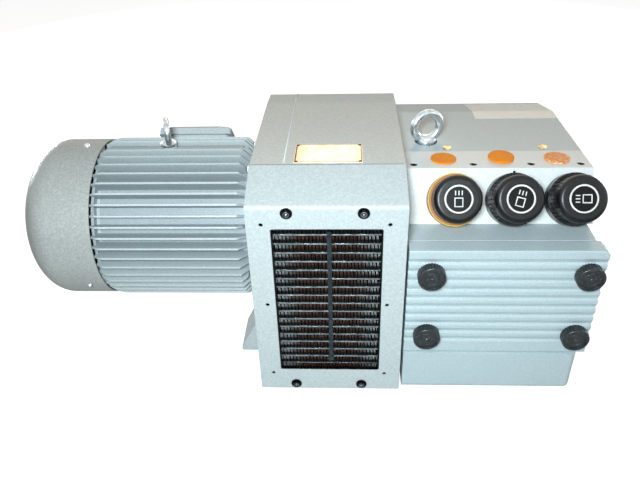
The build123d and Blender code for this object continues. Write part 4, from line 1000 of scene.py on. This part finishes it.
@dataclass
class CoolerHood:
    """The sheet hood with its window, the finned cooler behind it, the plate and the screws."""

    row_left: float = -176.0
    row_right: float = -31.6
    row_top: float = 323.4
    row_pitch: float = 14.5
    rows: int = 18
    tube_thickness: float = 2.0
    strip_gap: float = 0.15
    end_gap: float = 0.3
    window_top: float = 337.0
    front: float = -200.0
    back: float = -156.0
    fold_pitch: float = 5.0
    strip_thickness: float = 0.5
    splay: float = 1.5
    samples: int = 20
    jitter: float = 0.35
    row_phase: float = 1.3
    screw_spacing: float = 99.8
    screw_middle: float = -105.6
    screw_heights: Pair = (58.8, 363.4)
    screw_face: float = -216.4
    socket: Profile = ((2.5, -0.2), (2.5, 0.45), (2.9, 0.6), (4.1, 0.6), (4.6, 0.2), (4.6, -0.2))
    socket_floor: Profile = ((AXIS_RADIUS, 0.35), (0.9, 0.25), (1.5, 0.0), (1.5, -0.1), (AXIS_RADIUS, -0.1))
    guard_xs: Pair = (-189.7, -21.3)
    guard_heights: tuple[float, float, float] = (80.4, 213.0, 345.6)
    guard_back: float = -209.5
    rivet_nut: Profile = ((AXIS_RADIUS, -9.0), (4.2, -9.0), (4.2, -0.1), (4.0, 0.0), (2.9, 0.0), (2.7, -0.3),
                          (2.7, -8.0), (AXIS_RADIUS, -8.0))
    seam_x: float = -163.5
    seam_half: float = 1.8
    seam_run: Profile = ((-132.0, 396.9), (60.0, 396.9), (88.0, 396.9), (92.5, 396.7), (120.0, 394.3),
                         (148.0, 391.8))
    seam_heights: tuple[float, ...] = (1.5, 1.5, 1.4, 1.2, 0.8, 0.4)
    seam_sink: float = 0.3
    joint_ends: Pair = (-209.0, -2.0)
    joint_section: Profile = ((-139.6, 396.4), (-138.6, 396.8), (-138.6, 397.1), (-139.3, 397.12),
                              (-139.7, 396.9))
    plate_corner: Point = (-150.0, -134.6, 397.8)
    plate_size: Pair = (94.0, 59.0)
    border_inset: float = 0.9
    border_line: float = 1.1
    border_sink: float = 0.05
    border_rise: float = 0.1
    rivet_radius: float = 2.3
    rivet_height: float = 1.3
    rivet_inset: float = 3.5
    rivet_sink: float = 0.3

    def build(self) -> None:
        """Dress the hood and make the cooler's folded strip and the plate's details."""
        dress(Finish.HOOD_PAINT, "hood")
        dress(Finish.BLACK_STEEL, "hood_screws", "cooler_frame")
        dress(Finish.BLUED_STEEL, "cooler_bar")
        dress(Finish.TUBE, "cooler_tubes")
        dress(Finish.BRASS, "rating_plate")
        self.folded_strips()
        self.screw_sockets()
        self.rivet_nuts()
        self.seam()
        self.joint()
        self.plate_rivets()
        self.plate_border()

    def folded_strips(self) -> bpy.types.Object:
        """Make the folded fin strip of every row between the tubes.

        Row k follows z = middle_k + rise_k * u / (0.25 + 0.75 * |u|), with u = 2 * ((1 + sin w) / 2) ** 1.7
        - 1 and w = 2 * pi * x / pitch + jitter, so its upper bends are the narrow ones. They lean to the
        left by the splay near both ends. The line is offset by half the strip's thickness to both sides and
        runs straight back.

        Returns:
            The new object.
        """
        rng = np.random.default_rng(7)
        left, right = self.row_left + self.end_gap, self.row_right - self.end_gap
        count = int((self.row_right - self.row_left) / self.fold_pitch * self.samples)
        x = np.linspace(left, right, count)
        folds = np.arange(int(count / self.samples) + 3)
        off_middle = np.clip(np.abs(x - x.mean()) / (x.max() - x.mean()), 0.4, 1.0)
        n = 2 * count
        k = np.arange(count - 1)
        points, faces = [], []
        for row in range(self.rows):
            low = self.row_top - row * self.row_pitch + self.tube_thickness / 2 + self.strip_gap
            high = low + self.row_pitch - self.tube_thickness - 2 * self.strip_gap if row else self.window_top
            stray = rng.normal(0, self.jitter, len(folds))
            phase = np.interp(x, self.row_left + folds * self.fold_pitch, stray) + row * self.row_phase
            wave = np.sin(2 * np.pi * (x - self.row_left) / self.fold_pitch + phase)
            wave = 2 * ((1 + wave) / 2) ** 1.7 - 1
            z = (low + high) / 2 + (high - low) / 2 * 0.96 * wave / (0.25 + 0.75 * np.abs(wave))
            line = np.clip(x - self.splay * off_middle * (z - low) / (high - low), left, right)
            slope = np.stack([np.gradient(line), np.gradient(z)], 1)
            half = self.strip_thickness / 2 / np.hypot(*slope.T)[:, None]
            off = np.stack([-slope[:, 1], slope[:, 0]], 1) * half
            middle = np.stack([line, z], 1)
            grid = np.zeros((2, n, 3))
            grid[..., ::2] = np.concatenate([middle + off, (middle - off)[::-1]])
            grid[..., 1] = np.array([[self.front], [self.back]])
            start = 2 * n * row
            ends = [np.stack([base + k, base + k + 1, base + n - 2 - k, base + n - 1 - k], 1)
                    for base in (start, start + n)]
            points.append(grid.reshape(-1, 3))
            faces += [sweep_faces(2, n, False, True, start), ends[0], ends[1][:, ::-1]]
        points, faces = np.concatenate(points), np.concatenate(faces).tolist()
        obj = solid("cooler_folded_strips", points, faces, Finish.FIN, "frame", "black_fins", smooth=False)
        obj.data.materials.append(Finish.FIN_EDGE.material())
        front_edges = [0] * n + [1] * (count - 1) + [0] * (count - 1)
        obj.data.polygons.foreach_set("material_index", front_edges * self.rows)
        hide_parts("cooler_fins")
        return facing_out(obj)

    def screw_sockets(self) -> None:
        """Make the collar round each hood screw's hexagon socket, and the floor inside it, whose bright zinc
        is a painted highlight for the socket's glint.

        The collar's ring is a hexagon inside and a circle outside, 0.5 mm high with a sloped outer edge.
        """
        steps = 48
        ones = np.ones(steps)
        shape = np.stack([hexagon(steps), hexagon(steps), (hexagon(steps) + ones) / 2, ones, ones, ones], 1)
        ring, floor, ring_faces, floor_faces = [], [], [], []
        for side in (-0.5, 0.5):
            x = self.screw_middle + side * self.screw_spacing
            for height in self.screw_heights:
                place = Axes.facing((x, self.screw_face, height), FRONT)
                points, faces = ring_about(np.array(self.socket), steps, place, shape)
                ring_faces += shifted(faces, len(ring) * len(points))
                ring.append(points)
                points, faces = turned(np.array(self.socket_floor), 24, place)
                floor_faces += shifted(faces, len(floor) * len(points))
                floor.append(points)
        points = np.concatenate(ring)
        facing_out(solid("hood_screw_sockets", points, ring_faces, Finish.WORN_RIM, "frame", "black_steel"))
        # bright zinc floors inside black screws: a painted highlight for the sockets' glint
        points = np.concatenate(floor)
        facing_out(solid("hood_screw_floor_glints", points, floor_faces, Finish.ZINC, "frame", "zinc_steel"))

    def rivet_nuts(self) -> bpy.types.Object:
        """Make the blind rivet nut behind each of the six guard holes: a closed cup with a thin flange.

        Returns:
            The new object.
        """
        points, faces = [], []
        for x in self.guard_xs:
            for height in self.guard_heights:
                place = Axes.facing((x, self.guard_back, height), FRONT)
                cup, cup_faces = turned(np.array(self.rivet_nut), 32, place)
                faces += shifted(cup_faces, len(points) * len(cup))
                points.append(cup)
        points = np.concatenate(points)
        return facing_out(solid("hood_rivet_nuts", points, faces, Finish.BLACK_STEEL, "frame", "black_steel"))

    def seam(self) -> bpy.types.Object:
        """Make the lap seam's sealed bead, along the hood's top and down its back strip, in an enamel lighter
        than the hood's that is a painted highlight.

        Its section is half an ellipse, z = h * sqrt(1 - (x / half) ** 2), swept along a bent line. The height
        h is 1.5 mm on the top and falls to 0.4 mm at the strip's end.

        Returns:
            The new object.
        """
        t = np.linspace(-1, 1, 11)
        run = np.array(self.seam_run)
        upper = np.array(self.seam_heights)[:, None] * np.sqrt(np.clip(1 - t ** 2, 0, 1))
        grid = np.zeros((len(run), 2 * len(t), 3))
        grid[..., 0] = self.seam_x + self.seam_half * np.concatenate([t, t[::-1]])
        grid[..., 1] = run[:, :1]
        grid[..., 2] = run[:, 1:] + np.concatenate([upper, np.full(upper.shape, -self.seam_sink)], 1)
        n = 2 * len(t)
        last = (len(run) - 1) * n
        faces = sweep_faces(len(run), n, False, True).tolist()
        faces += [list(range(n)), list(range(last, last + n))[::-1]]
        obj = solid("hood_seam_bead", grid, faces, Finish.BEAD_PAINT, "frame", "hammer_paint_hood")
        return facing_out(obj)

    def joint(self) -> bpy.types.Object:
        """Make the sealed joint along the front edge of the hood's top sheet: a flat dark bead 1 mm wide.

        Returns:
            The new object.
        """
        section = np.array(self.joint_section)
        n = len(section)
        grid = np.zeros((2, n, 3))
        grid[..., 0] = np.array(self.joint_ends)[:, None]
        grid[..., 1:] = section
        faces = sweep_faces(2, n, False, True).tolist() + [list(range(n)), list(range(n, 2 * n))[::-1]]
        obj = solid("hood_joint_bead", grid, faces, Finish.GASKET, "frame", "gasket_rubber", smooth=False)
        return facing_out(obj)

    def plate_border(self) -> bpy.types.Object:
        """Make the bare plate's engraved and filled border: four bars, 0.1 mm proud of the plate.

        Returns:
            The new object.
        """
        x0, y0, z0 = self.plate_corner
        length, width = self.plate_size
        inset, line = self.border_inset, self.border_line
        inner = inset + line
        along, across = length - 2 * inset, width - 2 * inner
        bars = [(inset, inset, along, line), (inset, width - inset - line, along, line),
                (inset, inner, 1.6 * line, across), (length - inner, inner, line, across)]
        points, faces = [], []
        for k, (x, y, wide, deep) in enumerate(bars):
            flat = np.array([[x, y], [x + wide, y], [x + wide, y + deep], [x, y + deep]]) + (x0, y0)
            for h in (-self.border_sink, self.border_rise):
                points.append(np.column_stack([flat, np.full(4, z0 + h)]))
            faces += sweep_faces(2, 4, False, True, 8 * k).tolist()
            faces += shifted([[3, 2, 1, 0], [4, 5, 6, 7]], 8 * k)
        points = np.concatenate(points)
        obj = solid("plate_border", points, faces, Finish.PLATE_LINE, "frame", "plate_brass", smooth=False)
        return facing_out(obj)

    def plate_rivets(self) -> bpy.types.Object:
        """Make the bare plate's four rivets, each a low dome: z = h * (1 - (r / R) ** 2).

        Returns:
            The new object.
        """
        x0, y0, z0 = self.plate_corner
        length, width = self.plate_size
        radius = np.linspace(AXIS_RADIUS, self.rivet_radius, 7)
        profile = np.stack([radius, self.rivet_height * (1 - (radius / (self.rivet_radius + 0.05)) ** 2)], 1)
        points, faces = [], []
        for x in (self.rivet_inset, length - self.rivet_inset):
            for y in (self.rivet_inset, width - self.rivet_inset):
                place = Axes.facing((x0 + x, y0 + y, z0 - self.rivet_sink), UP)
                dome, dome_faces = turned(profile, 20, place)
                faces += shifted(dome_faces, len(points) * len(dome))
                points.append(dome)
        points = np.concatenate(points)
        return facing_out(solid("plate_rivets", points, faces, Finish.BLACK_STEEL, "frame", "black_steel"))


@dataclass
class PumpUnit:
    """The pump end: filter box, valve block with its ports, top cover and the cast parts below."""

    label_x: Pair = (135.0, 268.0)
    label_front: float = 88.0
    label_lift: float = 0.02
    label_thickness: float = 0.15
    crease: float = 120.4
    strip_end: float = 196.0
    top: float = 367.5
    strip_fall: float = 18.5
    strip_run: float = 85.6
    thumb_corner: Pair = (37.6, 154.0)
    thumb_spacing: Pair = (211.8, 107.4)
    thumb_floor: float = -216.1
    thumb_order: tuple[tuple[int, int], ...] = ((0, 1), (1, 1), (0, 0), (1, 0))
    ring_middle: float = 9.5
    ring_half: float = 0.9
    ring_height: float = 0.7
    face_sink: float = 0.3
    stud_end: Profile = ((AXIS_RADIUS, 1.1), (0.9, 0.95), (1.5, 0.6), (1.9, 0.0), (1.9, -0.3),
                         (AXIS_RADIUS, -0.3))
    cap_place: Point = (145.6, -65.0, 369.4)
    cap_tilt: Point = (0.035, -0.055, 1.0)
    cap_plug: Profile = ((AXIS_RADIUS, -4.0), (12.2, -4.0), (12.8, -3.4), (13.0, 0.0), (18.2, 0.0),
                         (18.5, 0.4))
    cap_edge: Pair = (17.7, 2.4)
    cap_edge_radius: float = 0.8
    cap_dome: Profile = ((14.0, 3.5), (8.0, 3.7), (AXIS_RADIUS, 3.8))

    def build(self) -> None:
        """Dress the unit's nodes and make the blank label, the askew cap and the thumb screws' faces."""
        dress(Finish.UNIT_PAINT, "filter_housing", "filter_cover", "top_cover")
        dress(Finish.PANEL_PAINT, "valve_block")
        dress(Finish.CAST_IRON, "cylinder", "drive_cover", "end_cover")
        dress(Finish.MOTOR_PAINT, "bell_housing", "pump_bracket")
        dress(Finish.THUMB, *[f"thumb_screw_{i}" for i in range(1, 5)])
        dress(Finish.CAP, "port_cap_left")
        dress(Finish.CAP_WORN, "port_cap_right")
        dress(Finish.BLACK_STEEL, "block_screws")
        dress(Finish.YELLOW_ZINC, "top_cover_screws")
        dress(Finish.ZINC, "pump_eyebolt")
        dress(Finish.GASKET, "cover_gasket")
        dress(Finish.FILTER_PAPER, "filter_cartridges")
        dress(Finish.BUFFER, "rubber_feet")
        self.label()
        self.askew_cap()
        self.thumb_faces()

    def thumb_faces(self) -> None:
        """Make each thumb screw's face: the stud's bright riveted end and a raised ring about it.

        The stud's end is a dome of radius 1.9 mm; the ring is a half round between radii 8.6 and 10.4 mm.
        """
        ring = arc(0, 180, 9, (self.ring_middle, 0.0), (self.ring_half, self.ring_height))
        outer, inner = self.ring_middle + self.ring_half, self.ring_middle - self.ring_half
        section = np.concatenate([[[outer, -self.face_sink]], ring, [[inner, -self.face_sink]]])
        for number, (across, up) in enumerate(self.thumb_order, 1):
            x = self.thumb_corner[0] + across * self.thumb_spacing[0]
            z = self.thumb_corner[1] + up * self.thumb_spacing[1]
            place = Axes.facing((x, self.thumb_floor, z), FRONT)
            body = f"thumb_{number}"
            points, faces = ring_about(section, 48, place)
            facing_out(solid(f"thumb_ring_{number}", points, faces, Finish.THUMB, body, "thumb_plastic"))
            points, faces = turned(np.array(self.stud_end), 24, place)
            facing_out(solid(f"thumb_stud_end_{number}", points, faces, Finish.WORN_RIM, body, "zinc_steel"))

    def askew_cap(self) -> bpy.types.Object:
        """Make the middle port's cap, sitting askew: a domed disc on a short plug, tilted a few degrees.

        Returns:
            The new object.
        """
        edge = arc(0, 90, 6, self.cap_edge, (self.cap_edge_radius, self.cap_edge_radius))
        profile = np.concatenate([self.cap_plug, edge, self.cap_dome])
        points, faces = turned(profile, 64, Axes.facing(self.cap_place, self.cap_tilt))
        obj = solid("askew_port_cap", points, faces, Finish.CAP, "cap_middle", "orange_cap")
        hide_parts("port_cap_middle")
        return facing_out(obj)

    def label(self) -> bpy.types.Object:
        """Make the blank label that folds over the top cover's crease.

        It is a thin strip on the sheet: z = top to the crease, then top - fall * (y - crease) / run.

        Returns:
            The new object.
        """
        x = np.linspace(*self.label_x, 12)
        y = np.concatenate([np.linspace(self.label_front, self.crease, 6),
                            np.linspace(self.crease, self.strip_end, 8)[1:]])
        z = self.top - self.strip_fall * np.clip(y - self.crease, 0, None) / self.strip_run + self.label_lift
        n = 2 * len(y)
        grid = np.zeros((len(x), n, 3))
        grid[..., 0] = x[:, None]
        grid[..., 1] = np.concatenate([y, y[::-1]])
        grid[..., 2] = np.concatenate([z + self.label_thickness, z[::-1]])
        last = (len(x) - 1) * n
        faces = sweep_faces(len(x), n, False, True).tolist()
        faces += [list(range(n)), list(range(last, last + n))[::-1]]
        obj = solid("blank_label", grid, faces, Finish.LABEL, "frame", "filter_paper", smooth=False)
        return facing_out(obj)


@dataclass
class Regulators:
    """Three black regulator knobs on the slanted panel, with generic dial discs."""

    knob_x: float = 71.5
    pitch: float = 82.0
    foot: Pair = (-134.3, 299.3)
    crest: Pair = (-93.8, 367.5)
    up_panel: float = 34.0
    top: float = 58.0
    recess: float = 0.8
    disc_radius: float = 19.8
    disc_edge: float = 0.3
    disc_heights: Pair = (0.05, 0.75)
    turns: Point = (0.0, -15.0, 90.0)
    pin_place: Point = (0.0, 37.0, 21.0)
    pin_radius: float = 1.6
    pin_height: float = 2.0
    pin_dome: float = 1.0
    lip_place: Pair = (36.5, 26.0)
    lip_radii: Pair = (0.55, 0.6)
    lip_foot: Profile = ((37.05, 25.4), (35.95, 25.6))
    print_sink: float = 0.04
    print_height: float = 0.06
    print_ring: Pair = (16.9, 19.2)
    print_ring_steps: int = 72
    tick_xs: Point = (-4.4, 0.0, 4.4)
    tick: tuple[float, float, float] = (8.2, 1.4, 6.0)
    square: tuple[tuple[float, float, float, float], ...] = (
        (-5.2, -4.2, 1.4, 12.8), (5.2, -4.2, 1.4, 12.8), (0.0, 1.5, 9.0, 1.4), (0.0, -9.9, 9.0, 1.4))

    def plane(self, index: int) -> Axes:
        """Give the axes of one knob: its place on the panel, x along the pump and z out of the panel.

        Args:
            index: which knob, 0 at the left.

        Returns:
            The knob's axes.
        """
        rise = np.array([self.crest[0] - self.foot[0], self.crest[1] - self.foot[1]])
        rise = rise / np.linalg.norm(rise)
        y, z = np.array(self.foot) + rise * self.up_panel
        return Axes.facing((self.knob_x + index * self.pitch, y, z), (0.0, -rise[1], rise[0]))

    def build(self) -> None:
        """Dress the regulators and make each dial."""
        dress(Finish.KNOB, "regulator_knob_left", "regulator_knob_middle", "regulator_knob_right")
        dress(Finish.BLACK_SLEEVE, "regulator_sleeves")
        dress(Finish.SLEEVE, "regulator_sleeve_left")
        dress(Finish.STEEL, "regulator_spindle_left", "regulator_spindle_middle", "regulator_spindle_right")
        for index, side in enumerate(("left", "middle", "right")):
            self.disc(index, side)
            self.marks(index, side)
        self.sleeve_rim()
        self.sleeve_pin()

    def sleeve_pin(self) -> bpy.types.Object:
        """Make the small stop pin that stands on top of the middle sleeve, with a rounded head.

        Returns:
            The new object.
        """
        head = arc(0, 80, 5, (0.0, self.pin_height), (self.pin_radius, self.pin_dome))
        foot = [[AXIS_RADIUS, -self.pin_height], [self.pin_radius, -self.pin_height]]
        profile = np.concatenate([foot, head, [[AXIS_RADIUS, self.pin_height + self.pin_dome]]])
        plane = self.plane(1)
        place = Axes.facing(tuple(plane.put(np.array(self.pin_place))), tuple(plane.y))
        points, faces = turned(profile, 20, place)
        return facing_out(solid("sleeve_stop_pin", points, faces, Finish.BLACK_STEEL, "frame", "black_steel"))

    def sleeve_rim(self) -> bpy.types.Object:
        """Make the lip round the left sleeve's front edge, half a round 1.1 mm wide, in a bright yellow that
        is a painted highlight.

        Returns:
            The new object.
        """
        lip = arc(0, 180, 9, self.lip_place, self.lip_radii)
        section = np.concatenate([[self.lip_foot[0]], lip, [self.lip_foot[1]]])
        points, faces = ring_about(section, 96, self.plane(0))
        return facing_out(solid("sleeve_lip", points, faces, Finish.SLEEVE_RIM, "frame", "yellow_sleeve"))

    def disc(self, index: int, side: str) -> bpy.types.Object:
        """Make the black disc in the knob's recess, its edge rounded by a quarter circle.

        Args:
            index: which knob, 0 at the left.
            side: the knob's side, as the nodes are named.

        Returns:
            The new object.
        """
        low, high = self.disc_heights
        bend = np.radians(np.linspace(0, 90, 5))
        edge = np.stack([self.disc_radius - self.disc_edge + self.disc_edge * np.sin(bend),
                         high - self.disc_edge + self.disc_edge * np.cos(bend)], 1)
        top = [[AXIS_RADIUS, high], [8.0, high], [14.0, high]]
        profile = np.concatenate([top, edge, [[self.disc_radius, low], [AXIS_RADIUS, low]]])
        points, faces = turned(profile, 64, self.plane(index).moved(z=self.top - self.recess))
        obj = solid(f"dial_disc_{side}", points, faces, Finish.DIAL, f"knob_{side}", "black_knob")
        return facing_out(obj)

    def marks(self, index: int, side: str) -> bpy.types.Object:
        """Make the dial's print: an outer ring, a plain square frame and three ticks beside it.

        Each mark is a closed outline, 0.06 mm thick, turned with its knob by its setting.

        Args:
            index: which knob, 0 at the left.
            side: the knob's side, as the nodes are named.

        Returns:
            The new object.
        """
        axes = self.plane(index).moved(z=self.top - self.print_sink)
        turn = math.radians(self.turns[index])
        c, s = math.cos(turn), math.sin(turn)
        spin = np.array([[c, s], [-s, c]])
        ring = self.band(*self.print_ring, self.print_ring_steps) @ spin
        loop = np.concatenate([ring, ring[:, ::-1]], 1)
        height = np.array([self.print_height, self.print_height, 0.0, 0.0])
        grids = [np.concatenate([loop, np.tile(height[:, None], (len(loop), 1, 1))], -1)]
        faces = sweep_faces(len(loop), 4, True, True).tolist()
        start = 4 * len(loop)
        for bar in (*self.square, *[(x, *self.tick) for x in self.tick_xs]):
            grid = np.zeros((2, 4, 3))
            grid[..., :2] = self.bar(*bar) @ spin
            grid[1, :, 2] = self.print_height
            grids.append(grid)
            faces += sweep_faces(2, 4, False, True, start).tolist()
            faces += shifted([[3, 2, 1, 0], [4, 5, 6, 7]], start)
            start += 8
        points = np.concatenate([axes.put(grid).reshape(-1, 3) for grid in grids])
        name, body = f"dial_print_{side}", f"knob_{side}"
        return solid(name, points, faces, Finish.PRINT, body, "filter_paper", smooth=False)

    def band(self, inner: float, outer: float, steps: int) -> np.ndarray:
        """Give a flat ring between two radii, as an array of (steps, 2, 2).

        Args:
            inner: the inner radius.
            outer: the outer radius.
            steps: the number of steps round it.

        Returns:
            An array of (steps, 2, 2) places.
        """
        angle = np.radians(np.linspace(0, 360, steps + 1)[:-1])[:, None]
        radius = np.array([[inner, outer]])
        return np.stack([radius * np.cos(angle), radius * np.sin(angle)], -1)

    def bar(self, x: float, y: float, width: float, height: float) -> np.ndarray:
        """Give a rectangle's outline about its middle."""
        return np.array([[x - width / 2, y - height / 2], [x + width / 2, y - height / 2],
                         [x + width / 2, y + height / 2], [x - width / 2, y + height / 2]])


@dataclass
class Drive:
    """The inner drive that the hood and the pump hide: coupling, ventilator, rotor and vanes."""

    def build(self) -> None:
        """Dress the inner nodes."""
        dress(Finish.CAST_IRON, "motor_hub", "pump_hub")
        dress(Finish.SPIDER, "coupling_spider")
        dress(Finish.TUBE, "ventilator")
        dress(Finish.STEEL, "pump_rotor", "pump_bearings")
        dress(Finish.CARBON, "vanes")


def main() -> None:
    """Build the camera, the studio and every sub-assembly."""
    logging.basicConfig(level=logging.INFO, format="%(message)s")
    for part in (CameraRig(), Studio(), Motor(), CoolerHood(), PumpUnit(), Regulators(), Drive()):
        part.build()
        log.info("built %s", type(part).__name__)
    corners = [[list(map(float, c)) for c in box] for box in (cad_bounds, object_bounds())]


if __name__ == "__main__":
    main()
